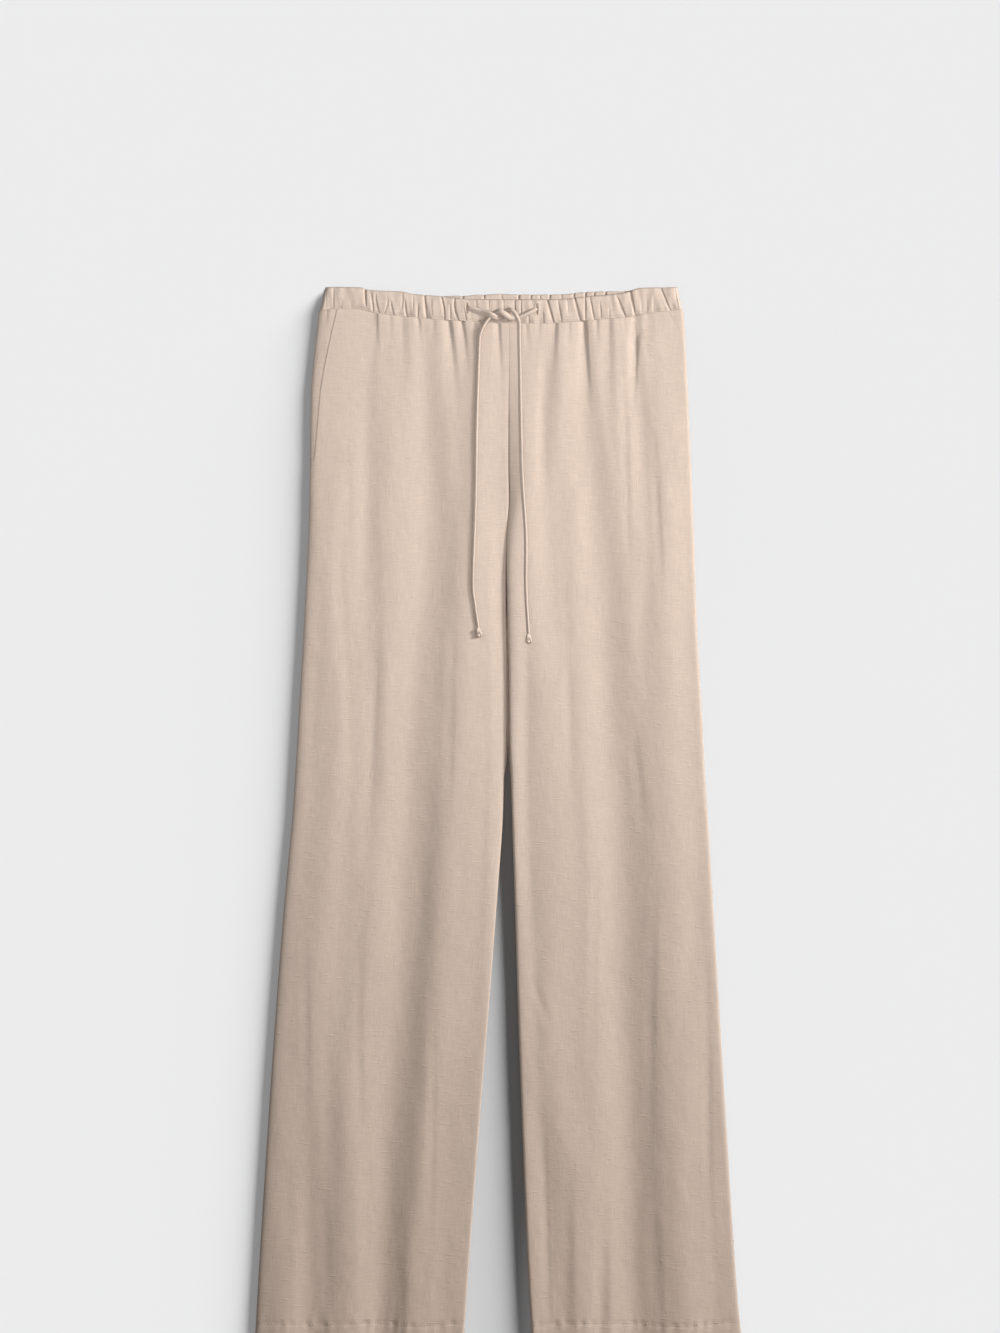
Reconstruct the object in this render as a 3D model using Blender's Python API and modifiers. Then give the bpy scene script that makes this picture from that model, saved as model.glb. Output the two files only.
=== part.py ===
"""Linen drawstring trousers, laid flat on their back, waist towards +Y.

Two front legs, two back legs, two pocket bearings, a gathered waistband in two halves
and a drawstring in two strands with knotted tips. Every cloth piece is a thin wall.
+X is the wearer's left, +Z is up off the surface, and the origin is at the middle of
the underside. Sizes are in millimetres until a point is placed, and "down" is the
distance below the upper edge of the waistband.
"""

from bisect import bisect_right
from collections import namedtuple
from math import cos, pi, radians, sin

import bmesh
import bpy
from mathutils import Matrix, Vector
from mathutils.bvhtree import BVHTree
from mathutils.geometry import interpolate_bezier

MM = 0.001

# Driving dimensions
OUTSEAM = 1069.5  # upper edge of the waistband to the hem
CLOTH = 1.2  # wall of one layer of linen
HEM_CLOTH = 2.0  # wall where the hem is turned up
HEM_DEPTH = 32.0
SEAM_GAP = 0.3  # between two pieces that are sewn together
BAND_WALL = 3.0  # casing and the elastic inside it
CORD_WIDTH = 4.0
CORD_LIFT = 0.6  # clearance of a free cord over the cloth
TIP_KNOT = (7.5, 9.0, 6.5)

# How the legs lie: back flat on the surface, front a little above it, edges rolled
FRONT_HEIGHT = 7.6  # outer face of the front where no fold crosses it
WAIST_HEIGHT = 7.4  # the same beside the waistband
WAIST_RISE = (30.0, 110.0)  # down, where the one becomes the other
SEAM_HEIGHT = 3.3  # top of the back's edge, which the front's edge meets
RISER = 0.8  # the upright part of an edge, beside its seam
RISER_SHARE = 0.1  # of the turn that runs round an edge
SIDE_ROLL = 6.5  # how far in from its edge the front has finished turning
BACK_ROLL = 3.5  # the same for the back
BACK_UNROLLED = RISER + 1.2 * BACK_ROLL  # width of that turn where it lies flat
BACK_CURL = (300.0, 340.0)  # down, where the back's inner edges start to lift

# The waistband's edges across the garment: the upper edge of its front half and the seam
# below that, which sag in the middle, and the same of its back half
Waist = namedtuple("Waist", "x front_top front_seam back_top back_seam")
WAIST = (
    Waist(-178.0, 0.6, 23.6, 1.0, 23.9),
    Waist(-163.0, 0.0, 21.9, 0.4, 24.0),
    Waist(-142.0, 0.4, 22.2, 0.9, 24.4),
    Waist(-120.0, 3.2, 26.6, 3.7, 25.3),
    Waist(-96.0, 5.2, 29.6, 5.6, 26.7),
    Waist(-60.0, 9.4, 32.8, 9.0, 28.9),
    Waist(-30.0, 12.2, 34.6, 8.2, 30.4),
    Waist(0.0, 12.5, 36.2, 6.8, 31.0),
    Waist(34.0, 12.5, 36.9, 7.4, 30.6),
    Waist(60.0, 12.2, 35.9, 7.2, 29.5),
    Waist(88.0, 9.6, 33.8, 4.8, 27.8),
    Waist(108.0, 8.0, 32.0, 4.2, 26.6),
    Waist(128.0, 5.0, 30.4, 4.0, 25.4),
    Waist(141.0, 1.0, 27.6, 1.6, 24.8),
    Waist(181.0, 0.3, 22.9, 0.8, 23.9),
)

# Where the two sides lie, the middle line between the legs and the gap along it. Down to
# the crotch that gap is the centre seam.
Outline = namedtuple("Outline", "down right_side middle parting left_side")
OUTLINE = (
    Outline(22.0, -180.0, 9.0, SEAM_GAP, 184.5),
    Outline(53.0, -183.5, 10.4, SEAM_GAP, 186.5),
    Outline(113.0, -188.5, 9.6, SEAM_GAP, 189.5),
    Outline(233.0, -190.0, 8.8, SEAM_GAP, 194.5),
    Outline(306.0, -193.5, 9.0, SEAM_GAP, 197.0),
    Outline(335.0, -195.0, 9.2, 1.4, 198.0),
    Outline(450.0, -201.7, 9.4, 2.4, 204.4),
    Outline(475.0, -203.2, 9.2, 4.5, 205.6),
    Outline(513.0, -205.5, 8.5, 8.0, 208.0),
    Outline(613.0, -214.5, 6.8, 17.5, 214.0),
    Outline(713.0, -222.5, 4.5, 28.0, 220.0),
    Outline(813.0, -229.5, 2.2, 39.5, 226.0),
    Outline(1013.0, -242.0, -1.0, 63.0, 239.0),
    Outline(OUTSEAM, -245.0, -1.2, 70.5, 245.0),
)

# The inner edge of each front leg: the height of its seam, and how wide the edge turns
Inner = namedtuple("Inner", "down height roll")
INNER_EDGE = (
    Inner(22.0, 6.0, 2.6),
    Inner(80.0, 5.4, 2.8),
    Inner(140.0, 4.6, 3.2),
    Inner(200.0, 4.1, 3.8),
    Inner(313.0, SEAM_HEIGHT + SEAM_GAP, 5.0),
    Inner(OUTSEAM, SEAM_HEIGHT + SEAM_GAP, 5.0),
)

# Pocket mouths: how far in from the side the front's cut edge runs
Mouth = namedtuple("Mouth", "down inset")
POCKET_MOUTH = {
    "right": (Mouth(22.0, 18.5), Mouth(55.0, 14.5), Mouth(92.0, 11.0), Mouth(130.0, 8.2), Mouth(172.0, 5.2)),
    "left": (Mouth(22.0, 16.5), Mouth(40.0, 8.5), Mouth(60.0, 2.6), Mouth(172.0, 1.4)),
}
MOUTH_END = 196.0  # down, where that edge has met the side seam
BEARING_END = 172.0
BEARING_UNDERLAP = 14.0  # how far the bearing runs on beneath the front
BEARING_GAP = 0.5
BEARING_COLUMNS = (0.0, 0.12, 0.3, 0.5, 0.7, 0.85, 1.0)  # shares of its width

# The largest folds, as a centre line with a height over the plain front and a half width
Fold = namedtuple("Fold", "down x height half_width")
FOLDS = {
    "right": {
        "side ridge": (
            Fold(20.0, -164.0, 0.2, 20.0),
            Fold(300.0, -163.0, 1.1, 22.0),
            Fold(500.0, -168.0, 1.5, 26.0),
            Fold(700.0, -184.0, 1.5, 30.0),
            Fold(860.0, -190.0, 0.0, 26.0),
        ),
        "hip trough": (
            Fold(20.0, -133.0, -0.8, 12.0),
            Fold(235.0, -130.0, -1.0, 15.0),
            Fold(480.0, -128.0, -1.0, 18.0),
            Fold(600.0, -130.0, 0.0, 18.0),
        ),
        "hip ridge": (
            Fold(80.0, -113.0, 0.0, 12.0),
            Fold(190.0, -107.0, 0.6, 15.0),
            Fold(420.0, -114.0, 0.0, 15.0),
        ),
        "gutter": (
            Fold(20.0, -73.0, -0.4, 14.0),
            Fold(235.0, -71.0, -2.7, 30.0),
            Fold(415.0, -81.0, -3.1, 34.0),
            Fold(640.0, -94.0, -3.9, 38.0),
            Fold(865.0, -108.0, -3.9, 38.0),
            Fold(OUTSEAM, -123.0, -3.2, 34.0),
        ),
        "inner ridge": (
            Fold(20.0, -18.0, 0.4, 20.0),
            Fold(235.0, -25.0, 2.4, 28.0),
            Fold(415.0, -36.0, 1.8, 32.0),
            Fold(685.0, -56.0, 1.8, 34.0),
            Fold(865.0, -74.0, 1.3, 32.0),
            Fold(OUTSEAM, -79.0, 1.6, 32.0),
        ),
        "shin ridge": (
            Fold(720.0, -158.0, 0.0, 18.0),
            Fold(860.0, -151.0, 1.6, 22.0),
            Fold(OUTSEAM, -158.0, 1.0, 20.0),
        ),
        "hem trough": (
            Fold(800.0, -196.0, 0.0, 14.0),
            Fold(910.0, -189.0, -1.0, 18.0),
            Fold(OUTSEAM, -188.0, -2.0, 18.0),
        ),
        "hem ridge": (
            Fold(890.0, -216.0, 0.0, 14.0),
            Fold(OUTSEAM, -214.0, 1.8, 20.0),
        ),
    },
    "left": {
        "inner ridge": (
            Fold(20.0, 24.0, 0.3, 18.0),
            Fold(235.0, 30.0, 2.1, 24.0),
            Fold(325.0, 32.0, 2.3, 26.0),
            Fold(460.0, 46.0, 1.5, 32.0),
            Fold(775.0, 53.0, 1.5, 32.0),
            Fold(910.0, 77.0, 1.9, 30.0),
            Fold(OUTSEAM, 83.0, 1.6, 24.0),
        ),
        "front trough": (
            Fold(20.0, 51.0, -0.4, 8.0),
            Fold(100.0, 46.0, -0.8, 10.0),
            Fold(235.0, 46.0, 0.0, 10.0),
        ),
        "front ridge": (
            Fold(20.0, 60.0, 0.3, 9.0),
            Fold(100.0, 63.0, 0.9, 12.0),
            Fold(230.0, 60.0, 0.0, 12.0),
        ),
        "gutter": (
            Fold(20.0, 82.0, -0.9, 11.0),
            Fold(145.0, 89.0, -2.0, 20.0),
            Fold(280.0, 100.0, -2.6, 30.0),
            Fold(505.0, 118.0, -3.9, 36.0),
            Fold(820.0, 129.0, -4.5, 38.0),
            Fold(OUTSEAM, 137.0, -3.3, 32.0),
        ),
        "hip ridge": (
            Fold(20.0, 113.0, 0.4, 10.0),
            Fold(145.0, 121.0, 0.5, 14.0),
            Fold(250.0, 130.0, 0.0, 14.0),
        ),
        "hip trough": (
            Fold(20.0, 132.0, -0.8, 9.0),
            Fold(145.0, 142.0, -0.9, 12.0),
            Fold(260.0, 145.0, 0.0, 14.0),
        ),
        "side ridge": (
            Fold(20.0, 152.0, 0.1, 16.0),
            Fold(235.0, 170.0, 1.7, 24.0),
            Fold(460.0, 168.0, 2.0, 30.0),
            Fold(775.0, 179.0, 1.8, 32.0),
            Fold(OUTSEAM, 188.0, 2.1, 28.0),
        ),
        "hem trough": (
            Fold(900.0, 100.0, 0.0, 10.0),
            Fold(OUTSEAM, 103.0, -1.0, 12.0),
        ),
    },
}

# Deep puckers across the front half of the waistband, with the slant of each
Pucker = namedtuple("Pucker", "x lean depth half_width")
PUCKERS = (
    Pucker(-133.0, 0.0, 1.3, 6.0),
    Pucker(-108.0, 2.0, 0.9, 7.0),
    Pucker(-73.0, 1.0, 1.0, 7.0),
    Pucker(-50.0, 0.0, 0.7, 7.0),
    Pucker(52.0, 6.0, 0.9, 7.0),
    Pucker(79.0, 5.0, 1.1, 7.0),
    Pucker(101.0, 3.0, 0.7, 7.0),
    Pucker(123.0, 6.0, 1.1, 7.0),
    Pucker(166.0, 7.0, 0.9, 7.0),
)
BAND_REST = 2.0 * BAND_WALL + 0.5  # outer face of the front half at its edges
BAND_DOME = 1.2  # how much the casing swells between its two edges
BAND_INSET = 4.5  # of the band's ends from the sides below them
BAND_SPREAD = 8.0  # how much longer its lower edge is than its upper one

# Buttonholes that the drawstring comes out of
Slot = namedtuple("Slot", "x down")
BUTTONHOLES = {"right": Slot(-32.0, 21.5), "left": Slot(38.0, 22.5)}
BUTTONHOLE_SIZE = (5.6, 12.0)
BUTTONHOLE_DEPTH = 1.6

# Each strand from its buttonhole, through the half knot, to the knot at its tip: where
# it lies and how high its centre line runs over the cloth below it
Lay = namedtuple("Lay", "x down above")
STRANDS = {
    "right": (
        Lay(-32.0, 21.5, 0.6),
        Lay(-30.6, 21.9, 2.2),
        Lay(-26.0, 23.6, 3.2),
        Lay(-18.0, 26.4, 4.2),
        Lay(-9.0, 28.8, 7.5),
        Lay(-4.4, 30.6, 6.4),
        Lay(0.6, 31.0, 3.2),
        Lay(4.4, 28.4, 2.5),
        Lay(8.2, 24.8, 3.4),
        Lay(12.8, 24.4, 6.8),
        Lay(16.8, 29.4, 7.6),
        Lay(19.6, 36.0, 5.6),
        Lay(20.0, 46.0, 3.0),
        Lay(20.2, 66.0, 2.6),
        Lay(21.4, 133.0, 2.6),
        Lay(22.8, 190.0, 2.6),
        Lay(26.6, 250.0, 2.6),
        Lay(26.6, 300.0, 2.6),
        Lay(29.4, 349.0, 2.9),
    ),
    "left": (
        Lay(38.0, 22.5, 0.6),
        Lay(36.6, 22.9, 2.2),
        Lay(32.0, 25.2, 2.9),
        Lay(24.6, 28.8, 2.6),
        Lay(17.0, 31.4, 2.6),
        Lay(11.4, 31.4, 4.0),
        Lay(6.6, 28.6, 7.4),
        Lay(1.0, 25.4, 7.2),
        Lay(-4.8, 26.6, 3.2),
        Lay(-9.6, 31.2, 3.3),
        Lay(-14.2, 37.0, 3.5),
        Lay(-18.6, 46.0, 3.0),
        Lay(-20.4, 60.0, 2.6),
        Lay(-22.8, 133.0, 2.6),
        Lay(-24.2, 216.0, 2.6),
        Lay(-26.6, 293.0, 2.6),
        Lay(-24.6, 318.0, 2.6),
        Lay(-20.8, 343.0, 2.9),
    ),
}
KNOTTED_LENGTH = 80.0  # of each strand, drawn with closer points
CLOSE_STEP, FREE_STEP = 3.5, 15.5
ROUTE_DIVISIONS = 40  # of the curve between two of its places, before points are kept

# Rows down a leg, at its side, and how the columns run round and across it
FRONT_ROWS = (
    *(22.3, 34.0, 50.0, 70.0, 96.0, 130.0, 172.0, 184.0, 196.0, 236.0, 275.0, 296.0, 310.0, 324.0),
    *(345.0, 385.0, 430.0, 480.0, 530.0, 580.0, 635.0, 690.0, 745.0, 800.0, 855.0, 910.0, 965.0, 1010.0),
)
BACK_ROWS = (22.3, 70.0, 130.0, 196.0, 296.0, 310.0, 324.0, 345.0, 430.0, 530.0, 635.0, 745.0, 855.0, 965.0)
HEM_ROWS = (OUTSEAM - HEM_DEPTH - 1.5, OUTSEAM - HEM_DEPTH, OUTSEAM)
SEAM_FADE = 100.0  # below the waist seam, rows have lost its curve by here
TURN = (0.0, RISER_SHARE, 0.4, 0.7, 1.0)
FRONT_COLUMNS, BACK_COLUMNS = 13, 9
FRONT_BAND_STEPS, BACK_BAND_STEPS = 48, 16
FRONT_BAND_ROWS = (0.0, 0.15, 0.35, 0.65, 0.85, 1.0)
MOUTH_COLUMN = 1.35  # the place across the front that a pocket mouth pulls columns from
HALVINGS = 20  # of a range, to find a place by its inset
SIGHT_HEIGHT = 100.0  # over the whole garment, where heights are measured from

INWARD = {"right": 1.0, "left": -1.0}  # the way from a side towards the middle
COLOURS = {
    "linen": (0.66, 0.54, 0.45, 1.0),
    "waistband": (0.64, 0.52, 0.43, 1.0),
    "drawstring": (0.70, 0.58, 0.49, 1.0),
}


def smooth(low, high, value):
    """0 below low, 1 above high, and an even S curve between them."""
    share = min(max((value - low) / (high - low), 0.0), 1.0)
    return share * share * (3.0 - 2.0 * share)


def through(rows, column, at):
    """A table's value where its first column reads at, on a curve that never swings past its rows."""
    places = [row[0] for row in rows]
    values = [getattr(row, column) for row in rows]
    if at <= places[0]:
        return values[0]
    if at >= places[-1]:
        return values[-1]
    i = bisect_right(places, at) - 1
    rates = [(v1 - v0) / (p1 - p0) for v0, v1, p0, p1 in zip(values, values[1:], places, places[1:])]

    def slope(k):
        if k == 0 or k == len(rates):
            return rates[min(k, len(rates) - 1)]
        before, after = rates[k - 1], rates[k]
        return 0.0 if before * after <= 0 else 2.0 * before * after / (before + after)

    step = places[i + 1] - places[i]
    t = (at - places[i]) / step
    ease = t * t * (3.0 - 2.0 * t)
    bend = t * (1.0 - t) * step
    start, end = slope(i) * (1.0 - t), slope(i + 1) * t
    return values[i] + (values[i + 1] - values[i]) * ease + bend * (start - end)


def front_seam(x):
    """Lower edge of the waistband's front half."""
    return through(WAIST, "front_seam", x)


def back_seam(x):
    """Lower edge of the waistband's back half."""
    return through(WAIST, "back_seam", x)


def leg_edges(leg, down):
    """The x of a leg's side and of its inner edge."""
    middle, parting = through(OUTLINE, "middle", down), through(OUTLINE, "parting", down)
    return through(OUTLINE, leg + "_side", down), middle - INWARD[leg] * parting / 2.0


def front_height(leg, x, down):
    """Height of the front's outer face, folds and all, away from the leg's edges."""
    height = WAIST_HEIGHT + (FRONT_HEIGHT - WAIST_HEIGHT) * smooth(*WAIST_RISE, down)
    for fold in FOLDS[leg].values():
        if fold[0].down <= down <= fold[-1].down:
            reach = abs(x - through(fold, "x", down)) / through(fold, "half_width", down)
            if reach < 1.0:
                height += through(fold, "height", down) * cos(reach * pi / 2.0) ** 2
    return height


def turn(share):
    """The way round an edge, from its seam: how far in, how far up, and how far risen."""
    if share <= RISER_SHARE:
        return 0.0, 0.0, RISER * share / RISER_SHARE
    angle = radians(90.0) * (share - RISER_SHARE) / (1.0 - RISER_SHARE)
    return 1.0 - cos(angle), sin(angle), RISER


def front_point(leg, place, down):
    """(x, z) on the front. place runs 0 to 1 round the side, to 2 across, to 3 round the inner edge."""
    side_x, inner_x = leg_edges(leg, down)
    inward = INWARD[leg]
    inner_roll = through(INNER_EDGE, "roll", down)
    seam, inset, lift, rise = SEAM_HEIGHT + SEAM_GAP, 1.0, 1.0, RISER
    if place <= 1.0:
        inset, lift, rise = turn(place)
        x = side_x + inward * SIDE_ROLL * inset
    elif place >= 2.0:
        inset, lift, rise = turn(3.0 - place)
        seam = through(INNER_EDGE, "height", down)
        x = inner_x - inward * inner_roll * inset
    else:
        start, end = side_x + inward * SIDE_ROLL, inner_x - inward * inner_roll
        x = start + (end - start) * (place - 1.0)
    top = front_height(leg, x, down)
    return x, seam + rise + (top - seam - RISER) * lift


def place_of_inset(leg, inset, down):
    """The place round or across the front that lies this far in from the side."""
    if inset < SIDE_ROLL:
        low, high = RISER_SHARE, 1.0
        for _ in range(HALVINGS):
            middle = (low + high) / 2.0
            low, high = (middle, high) if SIDE_ROLL * turn(middle)[0] < inset else (low, middle)
        return low
    side_x, inner_x = leg_edges(leg, down)
    across = abs(inner_x - side_x) - SIDE_ROLL - through(INNER_EDGE, "roll", down)
    return 1.0 + (inset - SIDE_ROLL) / across


def mouth_place(leg, down):
    """Where the front's outer edge lies: on the pocket mouth, then at the side seam."""
    if down >= MOUTH_END:
        return 0.0
    edge = place_of_inset(leg, through(POCKET_MOUTH[leg], "inset", min(down, BEARING_END)), down)
    return edge * (1.0 - max(0.0, down - BEARING_END) / (MOUTH_END - BEARING_END))


def back_point(leg, place, down):
    """(x, z) on the back's outer face, which lies on the surface and curls up at its edges."""
    side_x, inner_x = leg_edges(leg, down)
    inward = INWARD[leg]
    curled = smooth(*BACK_CURL, down)
    if 1.0 < place < 2.0:
        start = side_x + inward * BACK_ROLL
        inner_roll = BACK_UNROLLED + (BACK_ROLL - BACK_UNROLLED) * curled
        end = inner_x - inward * inner_roll
        return start + (end - start) * (place - 1.0), 0.0
    at_side = place <= 1.0
    share = place if at_side else 3.0 - place
    inset, lift, rise = turn(share)
    height = SEAM_HEIGHT - rise - (SEAM_HEIGHT - RISER) * lift
    if at_side:
        return side_x + inward * BACK_ROLL * inset, height
    turned = max(0.0, share - RISER_SHARE) / (1.0 - RISER_SHARE)
    flat_inset = rise + (BACK_UNROLLED - RISER) * turned
    in_from_edge = flat_inset + (BACK_ROLL * inset - flat_inset) * curled
    return inner_x - inward * in_from_edge, height * curled


def row_down(row, x, seam):
    """A row starts along the waist seam's curve and straightens on its way down."""
    start = FRONT_ROWS[0]
    return row + (seam(x) + SEAM_GAP - start) * (1.0 - smooth(start, start + SEAM_FADE, row))


def place_in_metres(x, down, z):
    return Vector((x, OUTSEAM / 2.0 - down, z)) * MM


def new_collection(name):
    collection = bpy.data.collections.new(name)
    bpy.context.scene.collection.children.link(collection)
    return collection


def new_material(name):
    material = bpy.data.materials.new(name)
    material.use_nodes = True
    shader = material.node_tree.nodes["Principled BSDF"]
    shader.inputs["Base Color"].default_value = COLOURS[name]
    shader.inputs["Roughness"].default_value = 0.9
    shader.inputs["Metallic"].default_value = 0.0
    return material


def new_object(name, mesh, material, collection):
    item = bpy.data.objects.new(name, mesh)
    mesh.materials.append(material)
    collection.objects.link(item)
    return item


def sheet(name, columns, rows, place, facing, wall, material, collection):
    """A wall of cloth: a grid with each vertex moved to place(column, row), and thickened inwards.

    facing is +1 where its outer face looks up and -1 where it looks down. wall(row) is its thickness.
    """
    mesh = bpy.data.meshes.new(name)
    grid = bmesh.new()
    across, along = len(columns) - 1, len(rows) - 1
    bmesh.ops.create_grid(grid, x_segments=across, y_segments=along, size=1.0)
    thickness = grid.verts.layers.deform.new()
    thickest = max(wall(row) for row in rows)
    for vertex in grid.verts:
        column = columns[round((vertex.co.x + 1.0) / 2.0 * across)]
        row = rows[round((vertex.co.y + 1.0) / 2.0 * along)]
        vertex.co = place(column, row)
        vertex[thickness][0] = wall(row) / thickest
    grid.normal_update()
    if sum(face.normal.z for face in grid.faces) * facing < 0.0:
        bmesh.ops.reverse_faces(grid, faces=grid.faces)
    grid.to_mesh(mesh)
    grid.free()
    item = new_object(name, mesh, material, collection)
    item.vertex_groups.new(name="wall")
    shell = item.modifiers.new("wall", "SOLIDIFY")
    shell.thickness = thickest * MM
    shell.offset = -1.0
    shell.use_even_offset = True
    shell.vertex_group = "wall"
    mesh.shade_smooth()
    return item


def leg_wall(row):
    return HEM_CLOTH if row >= HEM_ROWS[1] else CLOTH


def spread(count):
    """Places across a leg, after the turn of its side and before the turn of its inner edge."""
    middle = [1.0 + (i + 1) / (count + 1) for i in range(count)]
    return [*TURN, *middle, *(3.0 - share for share in reversed(TURN))]


def make_front_leg(leg, material, collection):
    def place(column, row):
        edge = mouth_place(leg, row)
        if column < MOUTH_COLUMN:
            column = edge + column * (MOUTH_COLUMN - edge) / MOUTH_COLUMN
        rough_x = front_point(leg, column, row)[0]
        down = row_down(row, rough_x, front_seam)
        x, z = front_point(leg, column, down)
        return place_in_metres(x, down, z)

    name = "front_leg_" + leg
    rows = [*FRONT_ROWS, *HEM_ROWS]
    return sheet(name, spread(FRONT_COLUMNS), rows, place, 1.0, leg_wall, material, collection)


def make_back_leg(leg, material, collection):
    def place(column, row):
        rough_x = back_point(leg, column, row)[0]
        down = row_down(row, rough_x, back_seam)
        x, z = back_point(leg, column, down)
        return place_in_metres(x, down, z)

    rows = [*BACK_ROWS, *HEM_ROWS]
    return sheet("back_leg_" + leg, spread(BACK_COLUMNS), rows, place, -1.0, leg_wall, material, collection)


def make_pocket_bearing(leg, material, collection):
    """The strip behind the pocket mouth: the front's own form, moved in by its wall and a gap."""
    inwards, probe = CLOTH + BEARING_GAP, 0.02

    def place(column, row):
        mouth = through(POCKET_MOUTH[leg], "inset", row)
        end = place_of_inset(leg, mouth + BEARING_UNDERLAP, row)
        at = column * end
        down = row_down(row, front_point(leg, at, row)[0], front_seam)
        x, z = front_point(leg, at, down)
        before = front_point(leg, max(at - probe, 0.0), down)
        after = front_point(leg, at + probe, down)
        along = Vector((after[0] - before[0], after[1] - before[1])).normalized()
        side = INWARD[leg]
        return place_in_metres(x + side * abs(along.y) * inwards, down, z - abs(along.x) * inwards)

    rows = [row for row in FRONT_ROWS if row <= BEARING_END]
    name = "pocket_bearing_" + leg
    return sheet(name, BEARING_COLUMNS, rows, place, 1.0, lambda row: CLOTH, material, collection)


def band_height(x, row):
    """Outer face of the front half: domed between its edges and drawn in at each pucker."""
    height = BAND_REST + BAND_DOME * sin(pi * row)
    for pucker in PUCKERS:
        reach = abs(x - pucker.x - pucker.lean * (row - 0.5)) / pucker.half_width
        if reach < 1.0:
            height -= pucker.depth * cos(reach * pi / 2.0) ** 2 * sin(pi * row)
    return height


def band_x(column, row):
    """Across the waistband, whose lower edge reaches a little further out than its upper one."""
    left, right = OUTLINE[0].right_side + BAND_INSET, OUTLINE[0].left_side - BAND_INSET
    x = left + (right - left) * column
    return x + BAND_SPREAD * (x - OUTLINE[0].middle) / (right - left) * (row - 0.5)


def make_front_band(material, collection):
    """The half with the buttonholes. Its rows run 0 to 1 from its upper edge to its lower one."""

    def place(column, row):
        x = band_x(column, row)
        upper, lower = through(WAIST, "front_top", x), front_seam(x)
        return place_in_metres(x, upper + (lower - upper) * row, band_height(x, row))

    columns = [i / FRONT_BAND_STEPS for i in range(FRONT_BAND_STEPS + 1)]
    rows = FRONT_BAND_ROWS
    return sheet("waistband_front", columns, rows, place, 1.0, lambda row: BAND_WALL, material, collection)


def make_back_band(material, collection):
    """The half that lies on the surface, with its outer face down."""

    def place(column, row):
        x = band_x(column, row)
        upper, lower = through(WAIST, "back_top", x), back_seam(x)
        return place_in_metres(x, upper + (lower - upper) * row, 0.0)

    columns = [i / BACK_BAND_STEPS for i in range(BACK_BAND_STEPS + 1)]
    rows = (0.0, 0.5, 1.0)
    return sheet("waistband_back", columns, rows, place, -1.0, lambda row: BAND_WALL, material, collection)


def cut_buttonhole(band, leg, cutters):
    """A blind upright slot through the outer layer of the casing."""
    slot = BUTTONHOLES[leg]
    top = band_height(slot.x, 0.5)
    bpy.ops.mesh.primitive_cube_add(size=1.0)
    cutter = bpy.context.object
    cutter.name = "buttonhole_cutter_" + leg
    size = Vector((*BUTTONHOLE_SIZE, 2.0 * BUTTONHOLE_DEPTH)) * MM
    cutter.data.transform(Matrix.Diagonal((*size, 1.0)))
    cutter.location = place_in_metres(slot.x, slot.down, top)
    cutter.hide_render = True
    cutter.display_type = "WIRE"
    for holder in cutter.users_collection:
        holder.objects.unlink(cutter)
    cutters.objects.link(cutter)
    hole = band.modifiers.new("buttonhole " + leg, "BOOLEAN")
    hole.operation = "DIFFERENCE"
    hole.object = cutter


def cloth_below(pieces):
    """A function for the height of the cloth under a point, from the pieces as they are built."""
    depsgraph = bpy.context.evaluated_depsgraph_get()
    trees = [BVHTree.FromObject(piece, depsgraph) for piece in pieces]

    def height(point):
        above = Vector((point.x, point.y, SIGHT_HEIGHT * MM))
        hits = [tree.ray_cast(above, Vector((0.0, 0.0, -1.0)))[0] for tree in trees]
        return max((hit.z / MM for hit in hits if hit is not None), default=0.0)

    return height


def smooth_route(route):
    """The route as a smooth curve through its points, finely divided."""
    marks = [Vector((lay.x, lay.down, lay.above)) for lay in route]
    befores, afters = [marks[0], *marks], [*marks[2:], marks[-1]]
    fine = []
    for before, start, end, after in zip(befores, marks, marks[1:], afters):
        leaving, arriving = start + (end - before) / 6.0, end - (after - start) / 6.0
        fine += interpolate_bezier(start, leaving, arriving, end, ROUTE_DIVISIONS)[:-1]
    return [*fine, marks[-1]]


def strand_points(route, height):
    """Points along a strand, over the cloth below it, and closer together in the half knot."""
    fine = smooth_route(route)
    kept, travelled, kept_at = [fine[0]], 0.0, 0.0
    for before, here in zip(fine, fine[1:]):
        travelled += (here - before).length
        if travelled - kept_at >= (CLOSE_STEP if travelled < KNOTTED_LENGTH else FREE_STEP):
            kept.append(here)
            kept_at = travelled
    kept[-1] = fine[-1]
    places = [place_in_metres(mark.x, mark.y, mark.z) for mark in kept]
    return [place + Vector((0.0, 0.0, height(place) * MM)) for place in places]


def make_strand(leg, height, material, collection):
    """One strand of the drawstring. Returns its last point and the way it runs there."""
    points = strand_points(STRANDS[leg], height)
    curve = bpy.data.curves.new("drawstring_" + leg, "CURVE")
    curve.dimensions = "3D"
    curve.bevel_depth = CORD_WIDTH / 2.0 * MM
    curve.bevel_resolution = 2
    curve.use_fill_caps = True
    spline = curve.splines.new("POLY")
    spline.points.add(len(points) - 1)
    for target, point in zip(spline.points, points):
        target.co = (*point, 1.0)
    new_object("drawstring_" + leg, curve, material, collection)
    return points[-1], (points[-1] - points[-2]).normalized()


def make_tip_knot(leg, end, way, height, material, collection):
    """The knot at a strand's tip, lying on the cloth just past the strand's end."""
    mesh = bpy.data.meshes.new("tip_knot_" + leg)
    knot = bmesh.new()
    bmesh.ops.create_uvsphere(knot, u_segments=12, v_segments=8, radius=0.5)
    bmesh.ops.scale(knot, vec=Vector(TIP_KNOT) * MM, verts=knot.verts)
    knot.to_mesh(mesh)
    knot.free()
    mesh.shade_smooth()
    item = new_object("tip_knot_" + leg, mesh, material, collection)
    item.rotation_euler = way.to_track_quat("Y", "Z").to_euler()
    item.location = end + way * (TIP_KNOT[1] / 2.0 + SEAM_GAP) * MM
    item.location.z = (height(item.location) + CORD_LIFT + TIP_KNOT[2] / 2.0) * MM


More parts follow.
